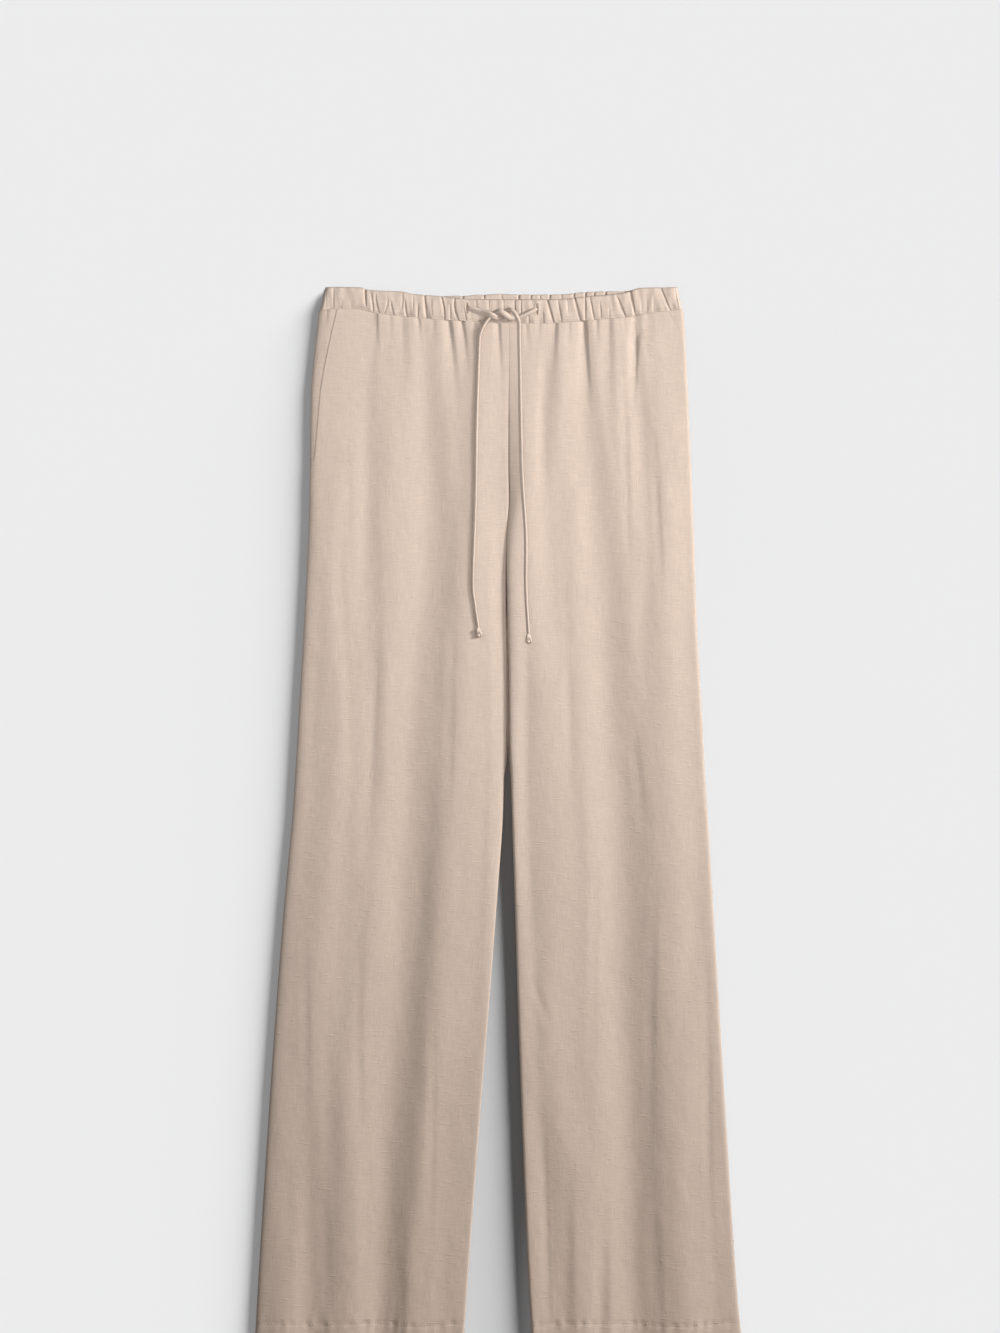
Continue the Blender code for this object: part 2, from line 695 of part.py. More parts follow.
def main():
    for item in list(bpy.data.objects):
        bpy.data.objects.remove(item, do_unlink=True)
    trousers = new_collection("linen_drawstring_trousers")
    cutters = new_collection("cutters")
    linen, band_cloth, cord = (new_material(name) for name in ("linen", "waistband", "drawstring"))

    fronts = [make_front_leg(leg, linen, trousers) for leg in INWARD]
    for leg in INWARD:
        make_back_leg(leg, linen, trousers)
        make_pocket_bearing(leg, linen, trousers)

    make_back_band(band_cloth, trousers)
    band = make_front_band(band_cloth, trousers)

    height = cloth_below([*fronts, band])
    ends = {leg: make_strand(leg, height, cord, trousers) for leg in INWARD}
    for leg in INWARD:
        cut_buttonhole(band, leg, cutters)
        make_tip_knot(leg, *ends[leg], height, cord, trousers)


main()
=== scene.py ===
"""Linen drawstring trousers, laid flat on their back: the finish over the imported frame.

Each cut piece is a thin closed shell on the form of its CAD solid, with the gathers,
creases and rumples of soft linen. Sizes are in millimetres until a mesh is made. +X is the
wearer's left, +Y runs to the waist, and "down" is the distance below the upper edge of the
waistband.
"""

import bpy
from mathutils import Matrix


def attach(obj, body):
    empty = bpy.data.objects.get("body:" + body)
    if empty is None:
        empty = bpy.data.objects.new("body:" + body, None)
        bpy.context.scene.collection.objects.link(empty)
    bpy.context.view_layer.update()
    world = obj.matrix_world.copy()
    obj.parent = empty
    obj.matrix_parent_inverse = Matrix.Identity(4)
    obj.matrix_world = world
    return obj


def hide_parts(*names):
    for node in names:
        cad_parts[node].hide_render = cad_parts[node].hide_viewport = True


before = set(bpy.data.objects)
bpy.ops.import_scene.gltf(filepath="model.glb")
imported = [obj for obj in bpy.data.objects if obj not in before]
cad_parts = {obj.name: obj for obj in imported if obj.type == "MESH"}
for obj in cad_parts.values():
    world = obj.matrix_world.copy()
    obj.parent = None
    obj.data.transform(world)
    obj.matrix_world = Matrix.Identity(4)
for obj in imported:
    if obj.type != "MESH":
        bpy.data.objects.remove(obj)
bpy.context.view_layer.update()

from collections import namedtuple
from math import pi, radians, tan

import bpy
import numpy as np
from mathutils import Vector
from mathutils.geometry import interpolate_bezier


def table(kind, *rows):
    """Rows of numbers, with the column names of their kind."""
    return tuple(kind(*map(float, row)) for row in rows)


MM = 0.001
INWARD = {"right": 1.0, "left": -1.0}  # the way from a side towards the middle

# Driving dimensions
OUTSEAM = 1069.5  # upper edge of the waistband to the hem
CLOTH = 0.9  # wall of one layer of linen
HEM_CLOTH = 2.0  # wall where the hem is turned up
HEM_DEPTH = 32.0
SEWN_GAP = 0.05  # between two pieces that are sewn together
BAND_WALL = 3.0  # casing and the elastic inside it
EDGE_BULGE = 0.12  # of a wall's rounded edge, as a share of the wall

# How the legs lie: back flat on the surface, front a little above it, edges rolled
FRONT_HEIGHT = 7.6
WAIST_HEIGHT = 7.4
WAIST_RISE = (30.0, 110.0)  # where the front changes from the one to the other
SEAM_HEIGHT = 3.3  # of the back's edges
SIDE_SEAM = 3.6  # of the front's edges, which lie on them
SEAM_DIP, SEAM_DIP_REACH = 0.2, 5.0  # of the cloth beside the waist seam
RISER = 0.8  # height of the upright part of an edge, next to its seam
RISER_PART = 0.25  # the most of an edge's height that its upright part takes
RISER_SHARE = 0.1  # of the way round an edge that its upright part takes
Turn = namedtuple("Turn", "roll square")  # how wide an edge turns, and how squarely: 2 is an ellipse
SIDES = {"right": Turn(13.0, 2.1), "left": Turn(6.0, 3.3)}
BACK_ROLL = 3.5
BACK_UNROLLED = RISER + 1.2 * BACK_ROLL
BACK_CURL = (300.0, 340.0)  # where the back's inner edge starts to curl up

# The grid on a leg: each stretch of rows, from one distance down to another in some steps,
# and the steps round each edge and across
LEG_STRETCHES = ((22.3, 78.0, 33), (78.0, 200.0, 32), (200.0, 1030.0, 117), (1030.0, OUTSEAM - 0.5, 17))
LEG_ROWS = np.concatenate(
    [np.linspace(*stretch, endpoint=False) for stretch in LEG_STRETCHES] + [[OUTSEAM - 0.5, OUTSEAM]]
)
ROWS_STRAIGHTEN = 100.0  # how far below the first row the rows no longer follow the waist seam
FRONT_STEPS, BACK_STEPS, BEARING_STEPS = (9, 208), (8, 110), 40

# Smooth random reliefs: the seed of each, how many waves it adds up, and the range of their
# lengths across the cloth and down it
Waves = namedtuple("Waves", "seed count across down")
STRAY, STRAY_WAVES = 1.2, Waves(31, 12, (90.0, 260.0), (260.0, 700.0))
RUMPLES = (
    (0.07, Waves(3, 26, (18.0, 70.0), (90.0, 500.0))),
    (0.02, Waves(13, 30, (9.0, 40.0), (12.0, 60.0))),
)
RUMPLE_SEED = {"right": 0, "left": 1}  # added to the rumples' seeds
RUMPLES_START = 40.0  # how far below the waist seam they have their full height
# Low hollows under the back
HOLLOW, HOLLOW_FULLNESS, HOLLOW_WAVES = 0.3, 0.5, Waves(21, 20, (30.0, 90.0), (160.0, 700.0))

# The hem's stitches wander, draw the cloth in along their line, and pucker it below that
HEM_WANDER, HEM_WAVES = 1.2, Waves(41, 10, (60.0, 200.0), (900.0, 1000.0))
HEM_DRAW, HEM_DRAW_VARIES, HEM_DRAW_WIDTH = 0.45, 0.2, 2.6
PUCKER, PUCKER_DOWN, PUCKER_REACH = 0.14, 2.0, 9.0
PUCKER_WAVES = Waves(42, 18, (7.0, 24.0), (30.0, 120.0))

# The waistband's edges across the garment
Waist = namedtuple("Waist", "x front_top front_seam back_top back_seam")
WAIST = table(
    Waist, (-178, 0.6, 23.6, 1, 23.9), (-163, 0, 21.9, 0.4, 24), (-142, 0.4, 22.2, 0.9, 24.4),
    (-136.5, 0.8, 23.4, 1.4, 24.6), (-130, 3.2, 25, 3.6, 24.9), (-120, 3.7, 26.8, 4.1, 25.3),
    (-96, 4.8, 29.6, 5.4, 26.7), (-89.5, 6.6, 30.2, 7, 27.1), (-60, 9.2, 32.8, 9, 28.9),
    (-30, 12.2, 34.6, 8.2, 30.4), (0, 12.5, 36.2, 6.8, 31), (34, 12.5, 36.9, 7.4, 30.6),
    (60, 12.2, 35.9, 7.2, 29.5), (88, 9.6, 33.8, 4.8, 27.8), (108, 8, 32, 4.2, 26.6),
    (128, 5, 30.4, 4, 25.4), (141, 1, 27.6, 1.6, 24.8), (181, 0.3, 22.9, 0.8, 23.9),
)

# Where the two sides lie, the middle line between the legs, and the gap along it between
# the fronts and between the backs
Outline = namedtuple("Outline", "down right_side middle front_gap back_gap left_side")
OUTLINE = table(
    Outline, (22, -180, 9, SEWN_GAP, SEWN_GAP, 184.5), (53, -183.5, 10.4, SEWN_GAP, SEWN_GAP, 186.5),
    (113, -188.5, 9.6, SEWN_GAP, SEWN_GAP, 189.5), (175, -189.2, 9.4, SEWN_GAP, SEWN_GAP, 192.2),
    (213, -189.7, 9.8, SEWN_GAP, SEWN_GAP, 193.7), (250, -190.8, 7.6, SEWN_GAP, SEWN_GAP, 195.2),
    (285, -192.4, 7.2, 0.5, SEWN_GAP, 196.4), (313, -193.9, 7.6, 1, SEWN_GAP, 197.2),
    (363, -196.6, 8.4, 1.8, SEWN_GAP, 199.4), (400, -198.8, 8.8, 2.2, SEWN_GAP, 201.6),
    (450, -201.7, 9, 2.6, SEWN_GAP, 204.4), (475, -203.2, 8.8, 4.8, 3, 205.6),
    (495, -204.4, 8.4, 7.4, 7, 206.8), (513, -205.5, 8.5, 8, 8, 208), (613, -214.5, 6.8, 17.5, 17.5, 214),
    (713, -222.5, 4.5, 28, 28, 220), (813, -229.5, 2.2, 39.5, 39.5, 226), (1013, -242, -1, 63, 63, 239),
    (OUTSEAM, -245, -1.2, 70.5, 70.5, 245),
)

# The inner edge of each front leg: the height of its seam, how wide its edge turns, and how
# squarely
Inner = namedtuple(
    "Inner", "down right_height right_roll right_square left_height left_roll left_square"
)
INNER_EDGE = table(
    Inner, (22, 7.3, 5, 2, 7.3, 6, 2), (60, 7.3, 5, 2, 7.3, 8, 2), (100, 7.2, 6, 2, 6.5, 12, 2),
    (140, 7.5, 5, 2, 5, 16, 2), (200, 7.1, 5, 2, 3.8, 15, 2), (245, 5, 7, 2, SIDE_SEAM, 8, 2.6),
    (290, SIDE_SEAM, 7, 2, SIDE_SEAM, 4.5, 3.4), (460, SIDE_SEAM, 7, 2, SIDE_SEAM, 4, 3.8),
    (600, SIDE_SEAM, 5, 2.6, SIDE_SEAM, 4.5, 3.4), (720, SIDE_SEAM, 4, 4, SIDE_SEAM, 4.5, 3.4),
    (OUTSEAM, SIDE_SEAM, 4.4, 4, SIDE_SEAM, 4.5, 3.4),
)

# Pocket mouths: how far in from the side the front's cut edge runs
Mouth = namedtuple("Mouth", "down inset")
POCKET_MOUTH = {
    "right": table(Mouth, (22, 18.5), (55, 14.5), (92, 11), (130, 8.2), (172, 5.2)),
    "left": table(Mouth, (22, 16.5), (40, 8.5), (60, 2.6), (172, 1.4)),
}
BEARING_END, MOUTH_END = 172.0, 196.0  # where the mouth starts to close, and where it has closed
MOUTH_WALL = 0.4  # of the front, pressed thin at the mouth
PRESSED_REACH = 3.0
MOUTH_COLUMNS = (0.0, 0.004, 0.015, 0.045)  # places of the extra columns next to the mouth
MOUTH_MOVES = 1.35  # the place up to which the mouth moves the columns over
BEARING_UNDERLAP = 14.0
BEARING_STEP = 0.45  # of the bearing that shows, below the front's face
BEARING_DROP = CLOTH + 0.3  # of the bearing under the front
BEARING_DIVE = 2.5  # how far in from the mouth it is that low

# The largest folds, as a centre line with a height over the plain front and a half width
Fold = namedtuple("Fold", "down x height half_width")
FOLDS = {
    "right": {
        "side ridge": table(
            Fold, (20, -164, 0.2, 20), (300, -163, 1.1, 22), (500, -168, 1.5, 26), (700, -184, 1.5, 30),
            (860, -190, 0, 26),
        ),
        "hip trough": table(
            Fold, (20, -133, -0.8, 12), (235, -130, -1, 15), (480, -128, -1, 18), (600, -130, 0, 18),
        ),
        "hip ridge": table(Fold, (80, -113, 0, 12), (190, -107, 0.6, 15), (420, -114, 0, 15)),
        "gutter": table(
            Fold, (20, -73, -0.4, 14), (235, -71, -2.7, 30), (415, -81, -3.1, 34), (640, -95, -4, 38),
            (865, -110, -3.9, 34), (OUTSEAM, -119, -3.4, 27),
        ),
        "inner ridge": table(
            Fold, (20, -18, 0.4, 20), (235, -25, 2.4, 28), (415, -36, 1.8, 32), (685, -56, 1.8, 34),
            (865, -77, 1.3, 32), (OUTSEAM, -84, 1.6, 30),
        ),
        "cleft dip": table(
            Fold, (200, 7, 0, 13), (300, 7, -1.8, 17), (560, 6, -1.8, 17), (700, -3, -0.8, 16),
            (830, -16, 0, 14),
        ),
        "shin ridge": table(Fold, (720, -158, 0, 18), (860, -151, 1.6, 22), (OUTSEAM, -158, 1, 20)),
        "hem trough": table(Fold, (800, -196, 0, 14), (910, -189, -1, 18), (OUTSEAM, -188, -2, 18)),
        "hem ridge": table(Fold, (890, -216, 0, 14), (OUTSEAM, -214, 1.8, 20)),
    },
    "left": {
        "inner ridge": table(
            Fold, (20, 24, 0.3, 18), (235, 30, 2.1, 24), (325, 32, 2.3, 26), (460, 46, 1.5, 32),
            (775, 53, 1.5, 32), (910, 77, 1.9, 30), (OUTSEAM, 83, 1.6, 24),
        ),
        "cleft lip": table(
            Fold, (190, 17, 0, 14), (260, 15, 1.5, 13), (330, 15, 2.1, 14), (560, 17, 2, 15),
            (713, 23, 1.2, 17), (OUTSEAM, 36, 1, 18),
        ),
        "front trough": table(Fold, (20, 51, -0.4, 8), (100, 46, -0.8, 10), (235, 46, 0, 10)),
        "front ridge": table(Fold, (20, 60, 0.3, 9), (100, 63, 0.9, 12), (230, 60, 0, 12)),
        "gutter": table(
            Fold, (20, 82, -0.9, 11), (145, 89, -2, 20), (280, 100, -2.6, 30), (505, 118, -3.9, 36),
            (820, 129, -4.5, 38), (OUTSEAM, 137, -3.8, 32),
        ),
        "hip ridge": table(Fold, (20, 113, 0.4, 10), (145, 121, 0.5, 14), (250, 130, 0, 14)),
        "hip trough": table(Fold, (20, 132, -0.8, 9), (145, 142, -0.9, 12), (260, 145, 0, 14)),
        "side ridge": table(
            Fold, (20, 152, 0.1, 16), (235, 170, 1.7, 24), (460, 168, 2, 30), (775, 179, 1.8, 32),
            (OUTSEAM, 188, 2.5, 32),
        ),
        "hem trough": table(Fold, (900, 100, 0, 10), (OUTSEAM, 103, -1, 12)),
    },
}

# Gathers that run down from the waist seam: where each starts, how far its foot drifts
# across, how far it reaches, its depth, and the width of its slope on each side
Gather = namedtuple("Gather", "x drift reach depth left right")
GATHERS = {
    "right": table(
        Gather, (-172, -2, 30, 0.48, 4, 3), (-147, 1, 26, 0.48, 5, 3.5), (-123.3, 1.5, 44, 1.44, 6, 3),
        (-109, 0, 30, 0.48, 5, 3.5), (-97, 3, 90, 0.96, 9, 7), (-81, 2.5, 26, 1.28, 4.5, 2.6),
        (-66, 2, 36, 0.64, 5, 4), (-50.3, 9, 88, 2.24, 9, 4.4), (-37, 7, 62, 1.92, 7, 3.6),
        (-25, 2, 26, 0.64, 4, 3), (-0.8, 3, 74, 1.44, 6.5, 3.2),
    ),
    "left": table(
        Gather, (18.5, 3, 34, 0.80, 5, 3), (27, 3, 40, 0.80, 5, 4), (40, 0, 26, 0.48, 4, 3),
        (56.6, -5, 70, 1.44, 7, 4), (70, 0, 30, 0.48, 4, 3), (86, 4, 96, 2.5, 8, 2.9),
        (97.5, 1, 30, 0.80, 4, 3), (110, 2, 120, 1.44, 9, 6), (125, 0, 26, 0.48, 4, 3),
        (138.3, -4, 108, 2.4, 8, 2.8), (149.5, 4, 110, 1.28, 8, 5), (160, 2.4, 28, 0.80, 4.5, 3),
        (173, 5, 26, 0.64, 4, 3),
    ),
}
GATHER_WAVER, GATHER_BEND = 0.8, 5.0  # how far a gather's line wavers, and how fast
GATHER_WIDENS = 0.8  # share of its width that it gains on the way
GATHER_FADE = 1.3
GATHER_CRISP = 0.4  # share of its form that comes to a crease, where the rest is round

# Creases lower down, each shaped like a spindle between its two ends
Crease = namedtuple("Crease", "x down end_x end_down depth left right")
CREASES = {
    "right": table(
        Crease, (-54, 110, -37, 106, 0.25, 6, 4), (-158, 220, -152, 480, 0.35, 10, 7),
        (-120, 330, -131, 560, 0.3, 8, 6), (-45, 300, -52, 560, 0.35, 9, 6),
        (-195, 620, -191, 850, 0.4, 9, 7), (-140, 640, -136, 880, 0.35, 9, 6),
        (-66, 700, -70, 980, 0.35, 9, 6), (-176, 850, -172, 1060, 0.4, 10, 8),
        (-81, 991, -51, 1009, 0.5, 2.6, 3.2), (-96, 930, -100, 1069, 0.4, 12, 9),
    ),
    "left": table(
        Crease, (30, 688, 54, 740, 0.5, 7, 5), (69, 874, 68, 1060, 0.7, 13, 9),
        (104, 930, 104, 1060, 0.55, 13, 9), (124, 60, 128, 290, 0.45, 8, 6),
        (152, 120, 166, 320, 0.45, 8, 5), (134, 430, 143, 540, 0.4, 9, 6), (64, 280, 74, 540, 0.35, 9, 7),
        (156, 560, 150, 860, 0.4, 10, 7), (98, 560, 92, 820, 0.3, 9, 7), (205, 640, 214, 1000, 0.35, 8, 6),
        (156, 900, 160, 1069, 0.55, 14, 10), (46, 820, 50, 1069, 0.4, 8, 5),
    ),
}

# Pleats across the casing. A pleat starts and ends at shares of the band's height, leans by
# the distance that its foot is further along than its head, and bows out by as much halfway
Pleat = namedtuple("Pleat", "x lean start end depth left right bow", defaults=(0.0,))
FRONT_PLEATS = table(
    Pleat, (-173, 0.5, 0, 1, 0.5, 2.4, 1.6), (-165.5, 0, 0, 1, 0.8, 2.6, 1.6),
    (-157, -1, 0.6, 1, 0.35, 2, 1.6), (-148, 0.5, 0.7, 1, 0.35, 2, 1.6),
    (-133.3, 0.6, -0.4, 0.8, 2.2, 3, 1.5), (-127.6, 3.2, 0.1, 1.1, 1.1, 2.6, 1.6, 0.8),
    (-121.6, 3.4, 0.1, 1.1, 1.2, 2.6, 1.7, -1.2), (-113.5, -3, 0.2, 1.1, 0.7, 2.4, 2, 2),
    (-106.2, 2.4, 0.4, 1.2, 1.1, 2.4, 1.6, -1.8), (-98.5, -3, 0, 0.8, 0.7, 2.4, 2, 1.8),
    (-92.4, 1, 0.3, 1.2, 1.2, 2.6, 1.6, -1.4), (-87, -1.6, 0, 0.7, 0.7, 2, 1.6, 1.2),
    (-81.8, 0.4, 0.4, 1.2, 1, 2.2, 1.6, 0.9), (-73.2, 2.2, -0.2, 1.1, 2.1, 3, 1.6),
    (-66.4, 1, 0.2, 0.9, 0.6, 2, 1.6, -1.2), (-56, 3.6, -0.1, 1.1, 1.9, 3.2, 1.7, 1),
    (-49.6, 1.8, 0.3, 1.1, 1, 2.2, 1.6, 0.9), (-42.4, 3.8, -0.1, 1.2, 1.8, 2.8, 1.6, -1.6),
    (-34.5, 3, 0.4, 1.1, 0.7, 2.2, 1.8), (-22, 2, -0.1, 0.5, 0.5, 2.4, 1.8),
    (-10, 0.5, -0.1, 0.5, 0.5, 2, 1.6), (4.5, 0, -0.1, 0.6, 0.6, 2.2, 1.6),
    (15.8, 0.4, -0.1, 0.6, 1, 2, 1.5), (22, 0.6, 0, 0.7, 1, 2, 1.5), (29.5, 1, 0.5, 1.2, 0.6, 2, 1.6),
    (44, 1, 0.5, 1.2, 0.6, 2, 1.6), (51.6, 6.6, -0.2, 1.2, 2, 3, 1.6), (60.8, 4.4, 0, 1.1, 1, 2.6, 1.8),
    (69, 2, 0, 0.7, 0.5, 2.2, 1.8), (78.8, 6.2, -0.2, 1.1, 2, 3, 1.6), (86.4, 0.4, 0, 1.2, 1.5, 2.4, 1.6),
    (93, 4.6, 0, 1.1, 1.2, 2.6, 1.7), (101.4, 1.2, 0.2, 1.1, 0.7, 2.2, 1.7),
    (110, 1, 0.5, 1.2, 0.5, 2, 1.6), (121.8, 10, 0, 1.1, 1.6, 3, 1.7),
    (133.8, 4.8, -0.2, 1.1, 1.7, 2.8, 1.6), (142.5, 0.5, 0.4, 1.1, 0.5, 2.2, 1.8),
    (148, 0.5, 0.5, 1.2, 0.5, 2, 1.6), (154.5, 0.5, 0.3, 1.1, 0.6, 2, 1.6),
    (166.5, 9.6, 0, 1.1, 1.6, 3, 1.7), (177.6, 4, 0.1, 1.1, 0.9, 2.4, 1.6),
)
BACK_PLEATS = table(
    Pleat, (-155, 0, -0.4, 1.2, 0.8, 3, 2.2), (-131, 1, -0.4, 1.2, 1.1, 3, 2.2),
    (-112, -1, -0.4, 1.2, 0.9, 3, 2.2), (-88, 1, -0.4, 1.2, 1.1, 3, 2.2), (-61, 0, -0.4, 1.2, 0.9, 3, 2.2),
    (-36, 0.5, -0.6, 1.2, 1.7, 2.6, 2), (-15, 0, -0.6, 1.2, 1.3, 2.6, 2), (3, 1, -0.4, 1.2, 0.7, 2.6, 2),
    (20, 0.5, -0.8, 1.3, 2.5, 2.4, 2), (32, 0, -0.5, 1.2, 1.3, 2.2, 1.8), (41, 0, -0.4, 1.2, 0.8, 2.2, 1.8),
    (51, 0, -0.6, 1.2, 1.7, 2.4, 1.8), (63, 1, -0.4, 1.2, 0.7, 2.4, 1.8), (75, 0, -0.6, 1.2, 1.7, 2.6, 2),
    (87, 0.5, -0.8, 1.3, 2.3, 2.4, 1.8), (95.5, 0, -0.7, 1.2, 1.8, 2, 1.6),
    (107, 0.5, -0.8, 1.3, 2.2, 2.4, 1.8), (126, 1, -0.4, 1.2, 0.9, 3, 2.2), (149, -1, -0.4, 1.2, 1, 3, 2.2),
    (166, 0, -0.4, 1.2, 0.8, 3, 2.2),
)
PLEAT_FADE = 0.6
BAND_BASE = BAND_WALL + 0.5  # under the front half of the band
BAND_REST = BAND_BASE + BAND_WALL  # outer face of the front half at its edges
BAND_DOME, DOME_FULLNESS = 1.4, 0.8  # how much the casing swells between its two edges, and how fully
CORD_ON_DOME = 0.7  # share of the swelling under the cords
BAND_INSET = 3.6  # of the band's ends from the sides below them
BAND_SPREAD = 10.0  # how much longer its lower edge is than its upper one
BAND_ROLL = 4.0  # how far in from its ends the casing has finished turning
BAND_FOLD, BAND_FOLD_WALL = 0.1, 0.3  # share of its height that its upper fold takes, and its wall there
BAND_THINNEST = 0.25
Pull = namedtuple("Pull", "share row")  # of a pleat's depth at a row, by which it draws the upper edge down
FRONT_PULL, BACK_PULL = Pull(0.45, 0.1), Pull(0.3, 0.2)
PUFF, PUFF_WAVES = 0.2, Waves(7, 24, (7.0, 26.0), (14.0, 90.0))
RIPPLE, RIPPLE_WAVES = 0.1, Waves(9, 14, (9.0, 26.0), (80.0, 200.0))
RIPPLE_SCALE = 20.0
BACK_WALL_EDGE = 0.4  # share of the back half's wall that it has at its edges
BACK_WALL_LEAST = 0.3
BACK_WALL_SQUARE = 6  # how evenly thick it is between its edges
STITCHED_ROW = 0.93  # share of the band's height where its lower edge is sewn down
STITCHED_DIP, STITCHED_WIDTH = 0.3, 0.05
FRONT_BAND_GRID, BACK_BAND_GRID = (34, 1040), (26, 760)
ROW_EASE = 0.35  # how much closer the front half's rows lie together at its two edges

# Buttonholes that the drawstring comes out of, and the ridge of stitches round each
Slot = namedtuple("Slot", "x down")
BUTTONHOLES = {"right": Slot(-32.0, 21.5), "left": Slot(38.0, 22.5)}
SLOT_SIZE = (2.4, 11.5)
SLOT_SQUARE = 3  # how square a slot's two ends are
SLOT_DEPTH, SLOT_SLOPE = 1.6, (0.55, 1.0)
SLOT_RIM, SLOT_RIM_HEIGHT = (1.3, 1.5), 0.3
SLOT_RIDGE, SLOT_RIDGE_WIDTH = 0.8, 0.3  # shares of the way out to the rim

# Stitches are spindles: rings of points at shares of their half length and of their radius
SPINDLE = ((-1.0, 0.1), (-0.7, 0.8), (0.0, 1.0), (0.7, 0.8), (1.0, 0.1))
SPINDLE_SIDES = 6
# The faces of its two end rings, each as a ring and its corners
SPINDLE_CAPS = ((0, (3, 2, 1, 0)), (0, (0, 5, 4, 3)), (-1, (0, 1, 2, 3)), (-1, (3, 4, 5, 0)))
STITCH_PITCH, STITCH_LENGTH, STITCH_RADIUS = 3.0, 2.2, 0.32
STITCH_LIFT = 0.1  # of a hem's stitches over its face
HEM_STITCH_PLACES, BAND_STITCH_COLUMNS = np.linspace(0.6, 2.4, 400), np.linspace(0.02, 0.98, 900)

# Each strand from its buttonhole, through the half knot, to the knot at its tip
Lay = namedtuple("Lay", "x down above")
STRANDS = {
    "right": table(
        Lay, (-32, 21.5, 0.6), (-30.6, 21.9, 2.2), (-26, 23.6, 3.2), (-18, 26.4, 4.2), (-9, 28.8, 7.5),
        (-4.4, 30.6, 6.4), (0.6, 31, 3.2), (4.4, 28.4, 2.5), (8.2, 24.8, 3.4), (12.8, 24.4, 6.8),
        (16.8, 29.4, 7.6), (19.6, 36, 5.6), (20, 46, 3), (20.2, 66, 2.6), (21.4, 133, 2.6),
        (22.8, 190, 2.6), (26.6, 250, 2.6), (26.6, 300, 2.6), (29.4, 349, 2.9),
    ),
    "left": table(
        Lay, (38, 22.5, 0.6), (36.6, 22.9, 2.2), (32, 25.2, 2.9), (24.6, 28.8, 2.6), (17, 31.4, 2.6),
        (11.4, 31.4, 4), (6.6, 28.6, 7.4), (1, 25.4, 7.2), (-4.8, 26.6, 3.2), (-9.6, 31.2, 3.3),
        (-14.2, 37, 3.5), (-18.6, 46, 3), (-20.4, 60, 2.6), (-22.8, 133, 2.6), (-24.2, 216, 2.6),
        (-26.6, 293, 2.6), (-24.6, 318, 2.6), (-20.8, 343, 2.9),
    ),
}
CORD_SINK = 1.3  # a flat cord's centre line lies this much lower than a round one's
LEAVES_KNOT = (60.0, 100.0)  # along a strand, where it comes out of the knot and settles
ROUTE_DIVISIONS = 16
GROUND_BLUR = 5  # points each way over which the cloth under a cord is evened out

# How a strand lies about its line: at a distance along it, the turn of its flat side (0 lies
# flat), its width and thickness, and where its ridge is, from -1 to 1 across it
Roll = namedtuple("Roll", "along angle width thickness ridge")
ROLLS = {
    "right": table(
        Roll, (0, 0, 3.4, 1.6, 0), (4, -4, 6.4, 2, -0.4), (18, -6, 7, 2.2, -0.4), (27, -4, 6.4, 2.4, -0.3),
        (40, 0, 5.4, 2.2, 0), (50, -6, 5.4, 2.3, 0.2), (60, 0, 4.8, 2.1, -0.1), (75, 6, 4, 1.8, -0.2),
        (110, -4, 4, 1.8, -0.3), (160, 4, 4.2, 2.2, -0.2), (220, 10, 4, 2, -0.3), (290, -4, 4, 2.4, -0.1),
        (390, 0, 3.8, 2.4, -0.2),
    ),
    "left": table(
        Roll, (0, 0, 3, 1.6, 0), (5, 4, 4.8, 2.1, 0.3), (18, 4, 4.8, 2.1, 0.3), (32, 0, 6, 2.4, 0.2),
        (40, 0, 6.6, 2.4, 0.1), (50, -4, 5, 2.3, 0), (62, 0, 4.2, 2.4, -0.1), (80, 6, 4.2, 2.6, -0.2),
        (120, -4, 4.2, 2, -0.3), (170, 2, 4.4, 2.4, -0.2), (230, 8, 4.2, 2.2, -0.3), (300, 0, 4, 2.4, -0.2),
        (390, 4, 3.8, 2.4, -0.2),
    ),
}
CORD_UNDERSIDE, CORD_RIDGE = -0.42, 0.58  # in its section, as shares of its thickness
CORNER_CUTS = 2  # times that a cord's corners are cut to round them
CORD_GIRTH = 12.0

# The knot in a strand's tip is a trefoil. Its size is across, along and over the strand
TREFOIL_SIZE = (0.62, 1.3, 0.8)
TREFOIL_AHEAD = 3.6  # of the strand's end
TREFOIL_CORD = 1.7  # radius
TREFOIL_STEPS, TREFOIL_SIDES = 90, 14
TREFOIL_CLOTH = (2.0, 0.6)  # cloth round its cord for each radian, and along it for each step

# Each piece's own part of the linen, so that no two pieces show the same threads
PATCH = {"front_leg": 40.0, "back_leg": 140.0, "pocket_bearing": 240.0}
FRONT_BAND_PATCH, BACK_BAND_PATCH, CORD_PATCH = 340.0, 440.0, 540.0

# Linen: colours, how far apart its threads are, how much their tone varies, and its slubs,
# which show where a stretched noise is high
LINEN_COLOUR, CORD_COLOUR = (0.725, 0.589, 0.494), (0.735, 0.599, 0.506)
LINEN_PITCH, CORD_PITCH = 0.55, 0.45
THREAD_TONE = 0.034
NOISE_RANGE = (0.3, 0.7)  # what nearly all of a noise lies in
Grain = namedtuple("Grain", "scale detail roughness", defaults=(2.0, 0.5))
WARP, WEFT = Grain((900.0, 60.0, 1.0), 3.0, 0.6), Grain((70.0, 900.0, 1.0), 3.0, 0.6)
Slub = namedtuple("Slub", "grain low high tone")
SLUBS = (
    Slub(Grain((520.0, 17.0, 1.0), 1.0), 0.66, 0.76, 1.07),
    Slub(Grain((470.0, 21.0, 3.0), 1.0), 0.67, 0.77, 0.93),
    Slub(Grain((48.0, 620.0, 1.0), 1.0), 0.66, 0.76, 1.06),
)
BLOTCH, BLOTCH_TONE = Grain((24.0, 12.0, 1.0), 4.0), 0.015
WEAVE_HEIGHT = 0.15  # of the even weave, beside the uneven threads
CRUMPLE, DASHES = Grain((46.0, 34.0, 1.0), 4.0, 0.55), Grain((90.0, 420.0, 7.0))
